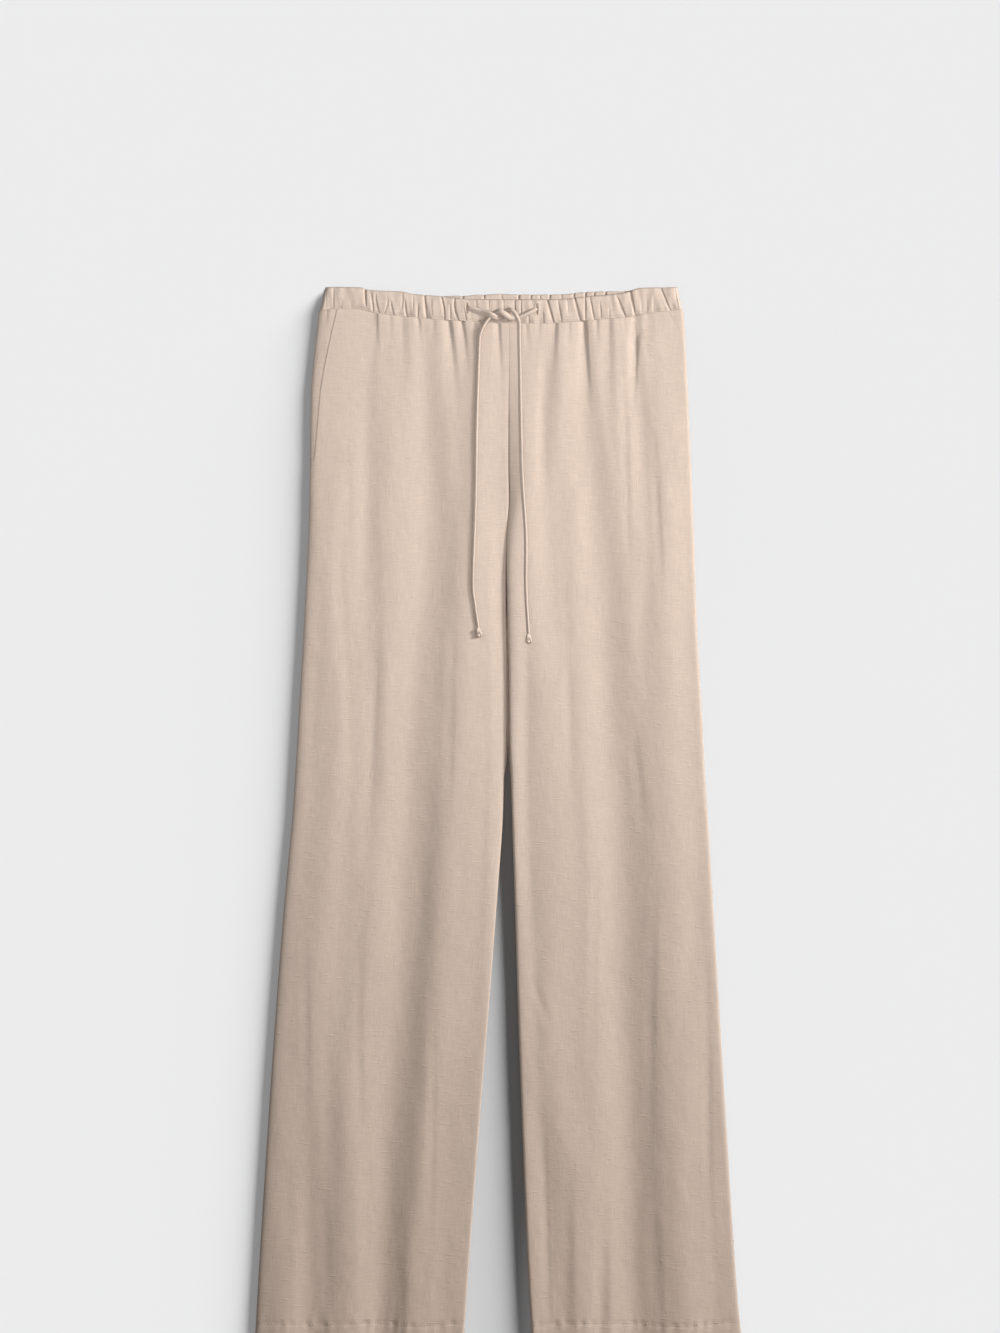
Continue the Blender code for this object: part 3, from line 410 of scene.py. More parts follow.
DASH_RANGE, DASH_HEIGHT = (0.6, 0.75), 0.22
THREAD_BUMP, CRUMPLE_BUMP = (0.6, 0.00012), (0.7, 0.0008)  # strength, and distance in metres
LINEN_SURFACE = {
    "Roughness": 0.92,
    "Specular IOR Level": 0.25,
    "Sheen Weight": 0.05,
    "Sheen Roughness": 0.5,
}

# Studio, in metres. The picture takes in this much of the surface from its top to its bottom
PICTURE_HEIGHT = 1.333
LENS, SENSOR = 100.0, 36.0
VIEW_CENTRE = (0.001, 0.15475, 0.008)
FLOOR_HALF, FLOOR_HEIGHT = 40.0, -0.0002
FLOOR_SURFACE = {
    "Base Color": (0.86, 0.86, 0.865, 1.0),
    "Roughness": 0.95,
    "Specular IOR Level": 0.0,
}
WORLD_STRENGTH = 0.09
WARM, WHITE, GLOW = (1.0, 0.985, 0.97), (1.0, 1.0, 1.0), (1.0, 0.62, 0.35)
SUN_FROM = (1.0, 1.0, 1.414 * tan(radians(11.5)))
FILL_FROM = (-1.0, 0.0, tan(radians(5.0)))
ORIGIN = (0.0, 0.0, 0.0)
Lamp = namedtuple("Lamp", "name kind lit energy colour place target bounces size_name size")
LAMPS = (
    Lamp("key", "AREA", "cloth", 142.0, WARM, (3.2, 1.3, 1.54), (0.0, 0.1, 0.0), False, "size", 0.8),
    Lamp("overhead", "POINT", "cloth", 6.25, WHITE, (-0.36, 0.42, 0.7), (-0.36, 0.42, 0.0), True,
         "shadow_soft_size", 0.2),
    Lamp("overhead", "POINT", "cloth", 6.25, WHITE, (0.36, 0.42, 0.7), (0.36, 0.42, 0.0), True,
         "shadow_soft_size", 0.2),
    Lamp("hem glow", "POINT", "cloth", 0.85, GLOW, (0.0, -0.75, 0.55), (0.0, -0.75, 0.0), False,
         "shadow_soft_size", 0.2),
    Lamp("floor sun", "SUN", "floor", 10.5, WHITE, SUN_FROM, ORIGIN, False, "angle", radians(28.0)),
    Lamp("floor fill", "SUN", "floor", 7.9, WHITE, FILL_FROM, ORIGIN, False, "angle", radians(8.0)),
)


# ---- The form of the cloth


def smooth(low, high, value):
    """0 below low, 1 above high, and an even S curve between them."""
    share = np.clip((value - low) / (high - low), 0.0, 1.0)
    return share * share * (3.0 - 2.0 * share)


def bump(reach):
    """1 at 0, falling evenly to 0 at 1 and beyond."""
    return np.cos(np.clip(np.abs(reach), 0.0, 1.0) * pi / 2.0) ** 2


def valley(reach):
    """1 at 0, where it comes to a crease, falling to 0 at 1 and beyond."""
    return (1.0 - np.clip(np.abs(reach), 0.0, 1.0)) ** 2


def through(rows, column, at):
    """A table's values where its first column reads at, on a curve that never swings past its rows."""
    places = np.array([row[0] for row in rows])
    values = np.array([getattr(row, column) for row in rows])
    steps = np.diff(places)
    rates = np.diff(values) / steps
    before, after = rates[:-1], rates[1:]
    same_way = before * after > 0.0
    between = np.where(same_way, 2.0 * before * after / np.where(same_way, before + after, 1.0), 0.0)
    slopes = np.concatenate(([rates[0]], between, [rates[-1]]))
    at = np.clip(at, places[0], places[-1])
    i = np.clip(np.searchsorted(places, at, side="right") - 1, 0, len(steps) - 1)
    t = (at - places[i]) / steps[i]
    ease = t * t * (3.0 - 2.0 * t)
    bend = t * (1.0 - t) * steps[i]
    swing = slopes[i] * (1.0 - t) - slopes[i + 1] * t
    return values[i] + (values[i + 1] - values[i]) * ease + bend * swing


def rumple(across, down, waves):
    """A smooth random relief of about unit height."""
    dice = np.random.default_rng(waves.seed)
    total = np.zeros(np.broadcast(across, down).shape)
    for _ in range(waves.count):
        width = dice.uniform(*waves.across)
        length = dice.uniform(*waves.down) * dice.choice((-1.0, 1.0))
        phase = dice.uniform(0.0, 2.0 * pi)
        total += np.sin(2.0 * pi * (across / width + down / length) + phase)
    return total / np.sqrt(waves.count / 2.0)


def level(x, down):
    """A relief of 0 at each place."""
    return np.zeros(np.broadcast(x, down).shape)


def leg_edges(leg, gap, down):
    """The x of a leg's side and of its inner edge."""
    middle, parting = through(OUTLINE, "middle", down), through(OUTLINE, gap, down)
    return through(OUTLINE, leg + "_side", down), middle - INWARD[leg] * parting / 2.0


def fold_relief(leg, x, down):
    """Height of the large folds over the plain front."""
    height = level(x, down)
    for fold in FOLDS[leg].values():
        within = (down >= fold[0].down) & (down <= fold[-1].down)
        reach = (x - through(fold, "x", down)) / through(fold, "half_width", down)
        height += np.where(within, through(fold, "height", down) * bump(reach), 0.0)
    return height


def gather_relief(leg, x, down):
    """Depth of the gathers below the waist seam."""
    depth = level(x, down)
    below = down - through(WAIST, "front_seam", x)
    for gather in GATHERS[leg]:
        share = np.clip(below / gather.reach, 0.0, 1.0)
        line = gather.x + gather.drift * share
        line = line + GATHER_WAVER * np.sin(GATHER_BEND * share + gather.x) * share
        width = np.where(x < line, gather.left, gather.right) * (1.0 + GATHER_WIDENS * share)
        reach = (x - line) / width
        form = GATHER_CRISP * valley(reach) + (1.0 - GATHER_CRISP) * bump(reach)
        depth += gather.depth * (1.0 - share) ** GATHER_FADE * form
    return depth


def crease_relief(leg, x, down):
    """Depth of the creases lower down."""
    depth = level(x, down)
    for crease in CREASES[leg]:
        run = np.array((crease.end_x - crease.x, crease.end_down - crease.down))
        length = np.hypot(*run)
        along = ((x - crease.x) * run[0] + (down - crease.down) * run[1]) / length**2
        beside = ((x - crease.x) * run[1] - (down - crease.down) * run[0]) / length
        width = np.where(beside < 0.0, crease.left, crease.right)
        depth += crease.depth * np.sin(pi * np.clip(along, 0.0, 1.0)) * bump(beside / width)
    return depth


def front_height(leg, x, down):
    """Height of the front's outer face, folds and all, away from the leg's edges."""
    height = WAIST_HEIGHT + (FRONT_HEIGHT - WAIST_HEIGHT) * smooth(*WAIST_RISE, down)
    strayed = x + STRAY * rumple(x, down, STRAY_WAVES)
    height = height + fold_relief(leg, strayed, down) - crease_relief(leg, strayed, down)
    height = height - gather_relief(leg, x, down)
    away = smooth(0.0, RUMPLES_START, down - through(WAIST, "front_seam", x))
    for size, waves in RUMPLES:
        waves = waves._replace(seed=waves.seed + RUMPLE_SEED[leg])
        height += size * away * rumple(x, down, waves)
    return height


def turn(share, square):
    """The way round an edge, from its seam: how far in, how far up, and how far up the riser."""
    riser = np.clip(share / RISER_SHARE, 0.0, 1.0)
    angle = radians(90.0) * np.clip((share - RISER_SHARE) / (1.0 - RISER_SHARE), 0.0, 1.0)
    return 1.0 - np.abs(np.cos(angle)) ** (2.0 / square), np.sin(angle) ** (2.0 / square), riser


def way_round(place):
    """The share of the way round an edge. A place runs 0 to 1 round the side, to 2 across the leg,
    and to 3 round the inner edge."""
    return np.where(place <= 1.0, place, np.where(place >= 2.0, 3.0 - place, 1.0))


def place_x(leg, gap, place, down, rolls, insets):
    """The x of a place, from how wide the side and the inner edge turn and how far in it is on each."""
    side_x, inner_x = leg_edges(leg, gap, down)
    inward = INWARD[leg]
    start, end = side_x + inward * rolls[0], inner_x - inward * rolls[1]
    x = np.where(place <= 1.0, side_x + inward * insets[0], start + (end - start) * (place - 1.0))
    return np.where(place >= 2.0, inner_x - inward * insets[1], x)


def front_point(leg, place, down):
    """(x, z) on the front's outer face."""
    side, at_inner = SIDES[leg], place >= 2.0
    inner_roll = through(INNER_EDGE, leg + "_roll", down)
    square = np.where(at_inner, through(INNER_EDGE, leg + "_square", down), side.square)
    inset, lift, riser = turn(way_round(place), square)
    insets = (side.roll * inset, inner_roll * inset)
    x = place_x(leg, "front_gap", place, down, (side.roll, inner_roll), insets)
    seam = np.where(at_inner, through(INNER_EDGE, leg + "_height", down), SIDE_SEAM)
    top = front_height(leg, x, down)
    upright = np.minimum(RISER, RISER_PART * (top - seam))
    return x, seam + upright * riser + (top - seam - upright) * lift


def place_of_inset(leg, inset, down):
    """The place round or across the front that lies this far in from the side."""
    side = SIDES[leg]
    angle = np.arccos(np.clip(1.0 - inset / side.roll, 0.0, 1.0) ** (side.square / 2.0))
    turned = RISER_SHARE + (1.0 - RISER_SHARE) * angle / radians(90.0)
    side_x, inner_x = leg_edges(leg, "front_gap", down)
    across = np.abs(inner_x - side_x) - side.roll - through(INNER_EDGE, leg + "_roll", down)
    return np.where(inset < side.roll, turned, 1.0 + (inset - side.roll) / across)


def mouth_place(leg, down):
    """Where the front's outer edge lies: on the pocket mouth, then at the side seam."""
    inset = through(POCKET_MOUTH[leg], "inset", np.minimum(down, BEARING_END))
    edge = place_of_inset(leg, inset, down)
    return edge * (1.0 - np.clip((down - BEARING_END) / (MOUTH_END - BEARING_END), 0.0, 1.0))


def in_from_mouth(leg, x, down):
    """How far in from the front's outer edge a place lies, beside the pocket mouth."""
    side_x = leg_edges(leg, "front_gap", down)[0]
    edge_x = front_point(leg, mouth_place(leg, down), down)[0]
    return np.abs(x - side_x) - np.abs(edge_x - side_x)


def back_point(leg, place, down):
    """(x, z) on the back's outer face, which lies on the surface and curls up at its edges."""
    curled = smooth(*BACK_CURL, down)
    inner_roll = BACK_UNROLLED + (BACK_ROLL - BACK_UNROLLED) * curled
    share = way_round(place)
    inset, lift, riser = turn(share, 2.0)
    rise = RISER * riser
    height = SEAM_HEIGHT - rise - (SEAM_HEIGHT - RISER) * lift
    turned = np.clip(share - RISER_SHARE, 0.0, None) / (1.0 - RISER_SHARE)
    flat_inset = rise + (BACK_UNROLLED - RISER) * turned
    insets = (BACK_ROLL * inset, flat_inset + (BACK_ROLL * inset - flat_inset) * curled)
    x = place_x(leg, "back_gap", place, down, (BACK_ROLL, inner_roll), insets)
    z = np.where(place <= 1.0, height, np.where(place >= 2.0, height * curled, 0.0))
    flat = np.sin(pi * np.clip(place - 1.0, 0.0, 1.0)) ** HOLLOW_FULLNESS
    return x, z + HOLLOW * flat * np.clip(rumple(x, down, HOLLOW_WAVES), 0.0, 2.0)


def row_down(row, x, seam):
    """A row starts along the waist seam's curve and straightens on its way down."""
    start = LEG_ROWS[0]
    follows = 1.0 - smooth(start, start + ROWS_STRAIGHTEN, row)
    return row + (through(WAIST, seam, x) + SEWN_GAP - start) * follows


def spread(edge_steps, steps):
    """Places across a leg: close together round each edge, and even between them."""
    edge = np.concatenate(([0.0], np.linspace(RISER_SHARE, 1.0, edge_steps)))
    middle = np.linspace(1.0, 2.0, steps + 2)[1:-1]
    return np.concatenate((edge, middle, 3.0 - edge[::-1]))


# ---- Meshes


def numbered(rows, columns, start=0):
    """The vertex numbers of a grid."""
    return np.arange(rows * columns).reshape(rows, columns) + start


def quads(index, ring=False, loop=False):
    """Faces between the vertices of a grid. A ring joins each row's ends, and a loop the rows' ends."""
    if ring:
        index = np.concatenate((index, index[:, :1]), axis=1)
    if loop:
        index = np.concatenate((index, index[:1]))
    corners = (index[:-1, :-1], index[:-1, 1:], index[1:, 1:], index[1:, :-1])
    return np.stack([corner.ravel() for corner in corners], axis=1)


def unit(vectors, least=0.0):
    """The vectors, each one long."""
    return vectors / np.maximum(np.linalg.norm(vectors, axis=-1, keepdims=True), least)


def grid_normals(points):
    """Unit normals of a grid of points."""
    return unit(np.cross(np.gradient(points, axis=1), np.gradient(points, axis=0)), 1e-9)


def placed(name, data):
    """A new object in the scene."""
    item = bpy.data.objects.new(name, data)
    bpy.context.scene.collection.objects.link(item)
    return item


def new_mesh(name, points, faces, cloth, material):
    """A smooth mesh object in metres, with the cloth's own coordinates kept on its points.

    A face is a quad, or a triangle that repeats its last corner.
    """
    mesh = bpy.data.meshes.new(name)
    mesh.vertices.add(len(points))
    mesh.vertices.foreach_set("co", (points * MM).astype(np.float32).ravel())
    sizes = np.where(faces[:, 2] == faces[:, 3], 3, 4)
    loops = faces[np.arange(4) < sizes[:, None]]
    mesh.loops.add(len(loops))
    mesh.loops.foreach_set("vertex_index", loops.astype(np.int32))
    mesh.polygons.add(len(faces))
    mesh.polygons.foreach_set("loop_start", (np.cumsum(sizes) - sizes).astype(np.int32))
    mesh.update(calc_edges=True)
    mesh.validate()
    attribute = mesh.attributes.new("cloth", "FLOAT_VECTOR", "POINT")
    attribute.data.foreach_set("vector", (cloth * MM).astype(np.float32).ravel())
    mesh.shade_smooth()
    mesh.materials.append(material)
    return placed(name, mesh)


def cloth_coordinates(outer, patch):
    """Across and down the cloth along its own surface. patch tells the pieces apart."""
    across = np.zeros(outer.shape[:2])
    across[:, 1:] = np.cumsum(np.linalg.norm(np.diff(outer, axis=1), axis=2), axis=1)
    middle = outer.shape[1] // 2
    across -= across[:, middle : middle + 1]
    down = np.broadcast_to(OUTSEAM / 2.0 - outer[:, :, 1], across.shape)
    return np.stack((across, down, np.full_like(across, patch)), axis=2)


def shell(node_name, outer, wall, facing, patch, material):
    """A closed wall of cloth on a grid of outer points, with rounded edges, for a CAD node.

    facing is +1 where its outer face looks up and -1 where it looks down.
    """
    rows, columns = outer.shape[:2]
    normals = grid_normals(outer)
    if normals[:, :, 2].sum() * facing < 0.0:
        normals = -normals
    wall = np.broadcast_to(wall, (rows, columns))[:, :, None]
    flat_outer, flat_inner = outer.reshape(-1, 3), (outer - normals * wall).reshape(-1, 3)
    index = numbered(rows, columns)
    ring = np.concatenate((index[0, :-1], index[:-1, -1], index[-1, :0:-1], index[:0:-1, 0]))
    centre = (flat_outer[ring] + flat_inner[ring]) / 2.0
    along = np.roll(centre, -1, axis=0) - np.roll(centre, 1, axis=0)
    outward = unit(np.cross(along, normals.reshape(-1, 3)[ring]), 1e-9)
    towards_middle = flat_outer.mean(axis=0) - centre
    if (outward * towards_middle).sum() > 0.0:
        outward = -outward
    edge = centre + outward * wall.reshape(-1, 1)[ring] * EDGE_BULGE
    points = np.concatenate((flat_outer, flat_inner, edge))

    count, n = rows * columns, len(ring)
    step = np.roll(np.arange(n), -1)
    rim = 2 * count + np.arange(n)
    top = np.stack((ring[step], ring, rim, rim[step]), axis=1)
    bottom = np.stack((rim[step], rim, count + ring, count + ring[step]), axis=1)
    inner_faces = quads(numbered(rows, columns, count))[:, ::-1]
    faces = np.concatenate((quads(index), inner_faces, top, bottom))
    corners = points[quads(index)]
    looks = np.cross(corners[:, 1] - corners[:, 0], corners[:, 3] - corners[:, 0])
    if looks[:, 2].sum() * facing < 0.0:
        faces = faces[:, ::-1]
    cloth = cloth_coordinates(outer, patch).reshape(-1, 3)
    cloth = np.concatenate((cloth, cloth, cloth[ring]))
    item = new_mesh("cloth_" + node_name, points, faces, cloth, material)
    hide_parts(node_name)
    return item


def tube(name, rings, cloth, material):
    """A closed tube through rings of points, each ring a row."""
    count, around = rings.shape[:2]
    ends = np.stack((rings[0].mean(axis=0), rings[-1].mean(axis=0)))
    points = np.concatenate((rings.reshape(-1, 3), ends))
    index = numbered(count, around)
    ahead = np.roll(index, -1, axis=1)
    first, last = np.full(around, count * around), np.full(around, count * around + 1)
    caps = ((ahead[0], index[0], first, first), (index[-1], ahead[-1], last, last))
    faces = np.concatenate((quads(index, ring=True), *(np.stack(cap, axis=1) for cap in caps)))
    cloth = np.concatenate((cloth.reshape(-1, 3), cloth[0, :1], cloth[-1, :1]))
    return new_mesh(name, points, faces, cloth, material)


def stack(x, down, z):
    """Points from x, down and z, with y up."""
    x, down, z = np.broadcast_arrays(x, down, z)
    return np.stack((x, OUTSEAM / 2.0 - down, z), axis=-1)


# ---- Legs and pockets


def wall_of(rows):
    """The wall of a leg, which is thicker at its hem."""
    return np.where(rows >= OUTSEAM - HEM_DEPTH, HEM_CLOTH, CLOTH)


def hem_line(x):
    """How far down the hem's stitches run. They wander a little."""
    return OUTSEAM - HEM_DEPTH + HEM_WANDER * rumple(x, 0.0, HEM_WAVES)


def hem_relief(x, down):
    """The stitched line at the top of the hem draws the cloth in, and puckers it."""
    below = down - hem_line(x)
    puckers = rumple(x, down, PUCKER_WAVES)
    line = (HEM_DRAW + HEM_DRAW_VARIES * puckers) * bump(below / HEM_DRAW_WIDTH)
    return line + PUCKER * puckers * np.exp(-(((below - PUCKER_DOWN) / PUCKER_REACH) ** 2))


def on_front(leg, places, rows):
    """x, down and z on the front's face, on rows that start along the waist seam."""
    down = row_down(rows, front_point(leg, places, rows)[0], "front_seam")
    x, z = front_point(leg, places, down)
    below = down - through(WAIST, "front_seam", x)
    return x, down, z - SEAM_DIP * (1.0 - smooth(0.0, SEAM_DIP_REACH, below))


def make_front_leg(leg, material):
    """A front leg, with its outer edge on the pocket mouth and then on the side seam."""
    rows = LEG_ROWS[:, None]
    columns = np.concatenate((MOUTH_COLUMNS, spread(*FRONT_STEPS)[1:]))[None, :]
    edge = mouth_place(leg, rows)
    moved = edge + columns * (MOUTH_MOVES - edge) / MOUTH_MOVES
    x, down, z = on_front(leg, np.where(columns < MOUTH_MOVES, moved, columns), rows)
    outer = stack(x, down, z - hem_relief(x, down))
    beside_mouth = 1.0 - smooth(0.0, PRESSED_REACH, in_from_mouth(leg, x, down))
    pressed = beside_mouth * (1.0 - smooth(BEARING_END, MOUTH_END, rows))
    wall = wall_of(rows) - (CLOTH - MOUTH_WALL) * pressed
    return shell("front_leg_" + leg, outer, wall, 1.0, PATCH["front_leg"] * INWARD[leg], material)


def make_back_leg(leg, material):
    """A back leg, on every other row."""
    rows = LEG_ROWS[::2][:, None]
    rows = np.concatenate((rows, [[OUTSEAM]])) if rows[-1] < OUTSEAM else rows
    columns = spread(*BACK_STEPS)[None, :]
    down = row_down(rows, back_point(leg, columns, rows)[0], "back_seam")
    x, z = back_point(leg, columns, down)
    patch = PATCH["back_leg"] * INWARD[leg]
    return shell("back_leg_" + leg, stack(x, down, z), wall_of(rows), -1.0, patch, material)


def make_pocket_bearing(leg, material):
    """The strip behind the pocket mouth: the front's own form, moved in by its wall and a gap."""
    rows = LEG_ROWS[LEG_ROWS <= MOUTH_END][:, None]
    mouth = through(POCKET_MOUTH[leg], "inset", rows)
    end = place_of_inset(leg, mouth + BEARING_UNDERLAP, rows)
    x, down, z = on_front(leg, np.linspace(0.0, 1.0, BEARING_STEPS)[None, :] * end, rows)
    outer = stack(x, down, z)
    normals = grid_normals(outer)
    normals *= np.sign(normals[:, :, 2].sum())
    under = smooth(0.0, BEARING_DIVE, in_from_mouth(leg, x, down))[:, :, None]
    outer = outer - normals * (BEARING_STEP + (BEARING_DROP - BEARING_STEP) * under)
    patch = PATCH["pocket_bearing"] * INWARD[leg]
    return shell("pocket_bearing_" + leg, outer, CLOTH, 1.0, patch, material)


# ---- Waistband


def pleat_relief(pleats, x, row):
    """Depth of the pleats across a half of the waistband."""
    depth = level(x, row)
    for pleat in pleats:
        line = pleat.x + pleat.lean * (row - 0.5) + pleat.bow * np.sin(pi * np.clip(row, 0.0, 1.0))
        width = np.where(x < line, pleat.left, pleat.right)
        share = np.clip((row - pleat.start) / (pleat.end - pleat.start), 0.0, 1.0)
        depth += pleat.depth * np.sin(pi * share) ** PLEAT_FADE * valley((x - line) / width)
    return depth


def upper_edge(edge, pleats, pull, x):
    """A half's upper edge, drawn down by its pleats."""
    return through(WAIST, edge, x) + pull.share * pleat_relief(pleats, x, np.full_like(x, pull.row))


def band_x(column, row):
    """Across the waistband, whose lower edge reaches a little further out than its upper one."""
    left, right = OUTLINE[0].right_side + BAND_INSET, OUTLINE[0].left_side - BAND_INSET
    x = left + (right - left) * column
    return x + BAND_SPREAD * (x - OUTLINE[0].middle) / (right - left) * (row - 0.5)


def band_end(x, row):
    """0 at the ends of the casing and 1 where it has finished turning."""
    left, right = band_x(0.0, row), band_x(1.0, row)
    inset = np.clip(np.minimum(x - left, right - x) / BAND_ROLL, 0.0, 1.0)
    return np.sqrt(1.0 - (1.0 - inset) ** 2)


def buttonhole_relief(x, down):
    """Depth of the slots, and the raised stitching round each of them."""
    depth = level(x, down)
    half_width, half_length = SLOT_SIZE[0] / 2.0, SLOT_SIZE[1] / 2.0
    for slot in BUTTONHOLES.values():
        beside, along = x - slot.x, down - slot.down
        out = np.maximum(np.abs(beside / half_width), np.abs(along / half_length) ** SLOT_SQUARE)
        depth += SLOT_DEPTH * (1.0 - smooth(*SLOT_SLOPE, out))
        reach = np.hypot(beside / (half_width + SLOT_RIM[0]), along / (half_length + SLOT_RIM[1]))
        depth -= SLOT_RIM_HEIGHT * bump((reach - SLOT_RIDGE) / SLOT_RIDGE_WIDTH)
    return depth


def front_band_face(columns, rows):
    """x, down and thickness of the front half of the waistband."""
    x = band_x(columns, rows)
    top = upper_edge("front_top", FRONT_PLEATS, FRONT_PULL, x)
    down = top + (through(WAIST, "front_seam", x) - top) * rows
    fold = np.sqrt(1.0 - (1.0 - np.clip(rows / BAND_FOLD, 0.0, 1.0)) ** 2)
    relief = BAND_DOME * np.sin(pi * rows) ** DOME_FULLNESS + PUFF * rumple(x, down, PUFF_WAVES)
    relief = relief - pleat_relief(FRONT_PLEATS, x, rows) - buttonhole_relief(x, down)
    stitch_line = STITCHED_DIP * bump((rows - STITCHED_ROW) / STITCHED_WIDTH)
    wall = BAND_WALL * BAND_FOLD_WALL + BAND_WALL * (1.0 - BAND_FOLD_WALL) * fold
    thickness = (wall + relief - stitch_line) * band_end(x, rows)
    return x, down, np.maximum(thickness, BAND_THINNEST)


def casing(node_name, x, down, thickness, base, patch, material):
    """Half of the waistband: a casing that closes on itself, with a flat inner face at one height."""
    outer = stack(x, down, base + thickness)
    item = shell(node_name, outer, thickness, 1.0, patch, material)
    count = outer.shape[0] * outer.shape[1]
    points = np.empty(len(item.data.vertices) * 3, dtype=np.float32)
    item.data.vertices.foreach_get("co", points)
    points = points.reshape(-1, 3)
    points[count : 2 * count] = outer.reshape(-1, 3) * MM
    points[count : 2 * count, 2] = base * MM
    item.data.vertices.foreach_set("co", points.ravel())
    item.data.update()
    return item


def make_front_band(material):
    """The half with the buttonholes. Its rows lie a little closer together at its two edges."""
    steps, across = FRONT_BAND_GRID
    even = np.linspace(0.0, 1.0, steps)[:, None]
    rows = (1.0 - np.cos(np.linspace(0.0, pi, steps)))[:, None] / 2.0
    rows = ROW_EASE * rows + (1.0 - ROW_EASE) * even
    x, down, thickness = front_band_face(np.linspace(0.0, 1.0, across)[None, :], rows)
    return casing("waistband_front", x, down, thickness, BAND_BASE, FRONT_BAND_PATCH, material)


def make_back_band(material):
    """The half that lies on the surface. Its inner face shows above the front half."""
    steps, across = BACK_BAND_GRID
    rows = np.linspace(0.0, 1.0, steps)[:, None]
    x = band_x(np.linspace(0.0, 1.0, across)[None, :], rows)
    ripple = RIPPLE * rumple(x, rows * RIPPLE_SCALE, RIPPLE_WAVES)
    upper = upper_edge("back_top", BACK_PLEATS, BACK_PULL, x) + ripple
    down = upper + (through(WAIST, "back_seam", x) - upper) * rows
    swell = 1.0 - (2.0 * rows - 1.0) ** BACK_WALL_SQUARE
    thickness = BAND_WALL * BACK_WALL_EDGE + BAND_WALL * (1.0 - BACK_WALL_EDGE) * swell
    thickness = thickness - pleat_relief(BACK_PLEATS, x, rows) + ripple * swell
    thickness = np.clip(thickness * band_end(x, rows), BACK_WALL_LEAST, BAND_WALL)
    return casing("waistband_back", x, down, thickness, 0.0, BACK_BAND_PATCH, material)


# ---- Stitches


def make_stitches(name, line, up, material):
    """A row of stitches along a line of points, as one mesh on its face, which looks up or down."""
    at = even_steps(line, STITCH_PITCH)
    ways = unit(np.gradient(at, axis=0))
    side = unit(np.cross(ways, (0.0, 0.0, up)))
    lift = np.cross(side, ways)
    angle = np.linspace(0.0, 2.0 * pi, SPINDLE_SIDES, endpoint=False)[None, None, :, None]
    along, radius = (np.array(column)[None, :, None, None] for column in zip(*SPINDLE))
    points = at[:, None, None] + ways[:, None, None] * (along * STITCH_LENGTH / 2.0)
    rounds = side[:, None, None] * np.cos(angle) + lift[:, None, None] * np.sin(angle)
    points = (points + radius * STITCH_RADIUS * rounds).reshape(-1, 3)
    index = numbered(len(SPINDLE), SPINDLE_SIDES)
    caps = np.array([index[ring, list(corners)] for ring, corners in SPINDLE_CAPS])
    faces = np.concatenate((quads(index, ring=True), caps))
    faces = faces[None] + index.size * np.arange(len(at))[:, None, None]
    return new_mesh(name, points, faces.reshape(-1, 4), points, material)


def leg_stitches(leg, material):
    """The rows of stitches that hold a hem, on the front and on the back."""
    made = []
    for name, point, up in (("front", front_point, 1.0), ("back", back_point, -1.0)):
        straight = np.full_like(HEM_STITCH_PLACES, OUTSEAM - HEM_DEPTH)
        down = hem_line(point(leg, HEM_STITCH_PLACES, straight)[0]) if up > 0.0 else straight
        x, z = point(leg, HEM_STITCH_PLACES, down)
        z = z - hem_relief(x, down) if up > 0.0 else z
        line = stack(x, down, z + up * STITCH_LIFT)
        made.append(make_stitches("stitches_hem_" + name + "_" + leg, line, up, material))
    return made


def band_stitches(material):
    """The row of stitches along the lower edge of the casing."""
    columns = BAND_STITCH_COLUMNS
    x, down, thickness = front_band_face(columns, np.full_like(columns, STITCHED_ROW))
    return make_stitches("stitches_band_front", stack(x, down, BAND_BASE + thickness), 1.0, material)


# ---- Drawstring


def cloth_top(x, down):
    """Height of the cloth under a place near the middle of the front."""
    if down < through(WAIST, "front_seam", x):
        return BAND_REST + BAND_DOME * CORD_ON_DOME
    leg = "right" if x < through(OUTLINE, "middle", down) else "left"
    return float(front_height(leg, np.array([x]), np.array([down]))[0])


def smooth_route(route):
    """The route as a smooth curve through its points, finely divided."""
    marks = [Vector(lay) for lay in route]
    befores, afters = [marks[0], *marks], [*marks[2:], marks[-1]]
    fine = []
    for before, start, end, after in zip(befores, marks, marks[1:], afters):
        leaving, arriving = start + (end - before) / 6.0, end - (after - start) / 6.0
        fine += interpolate_bezier(start, leaving, arriving, end, ROUTE_DIVISIONS)[:-1]
    return np.array([tuple(mark) for mark in [*fine, marks[-1]]])


def even_steps(points, step):
    """The same line with its points an even distance apart."""
    travelled = np.concatenate(([0.0], np.cumsum(np.linalg.norm(np.diff(points, axis=0), axis=1))))
    at = np.linspace(0.0, travelled[-1], int(round(travelled[-1] / step)) + 1)
    return np.stack([np.interp(at, travelled, points[:, i]) for i in range(3)], axis=1)


def blurred(values, reach):
    """A running mean over reach points each way."""
    padded = np.concatenate((np.full(reach, values[0]), values, np.full(reach, values[-1])))
    return np.convolve(padded, np.ones(2 * reach + 1) / (2 * reach + 1), mode="valid")


def strand_line(leg):
    """The strand's centre line in millimetres, with its points a millimetre apart."""
    line = even_steps(smooth_route(STRANDS[leg]), 1.0)
    ground = blurred(np.array([cloth_top(x, down) for x, down, _ in line]), GROUND_BLUR)
    settled = smooth(*LEAVES_KNOT, np.arange(len(line)))
    return stack(line[:, 0], line[:, 1], ground + line[:, 2] - CORD_SINK * settled)


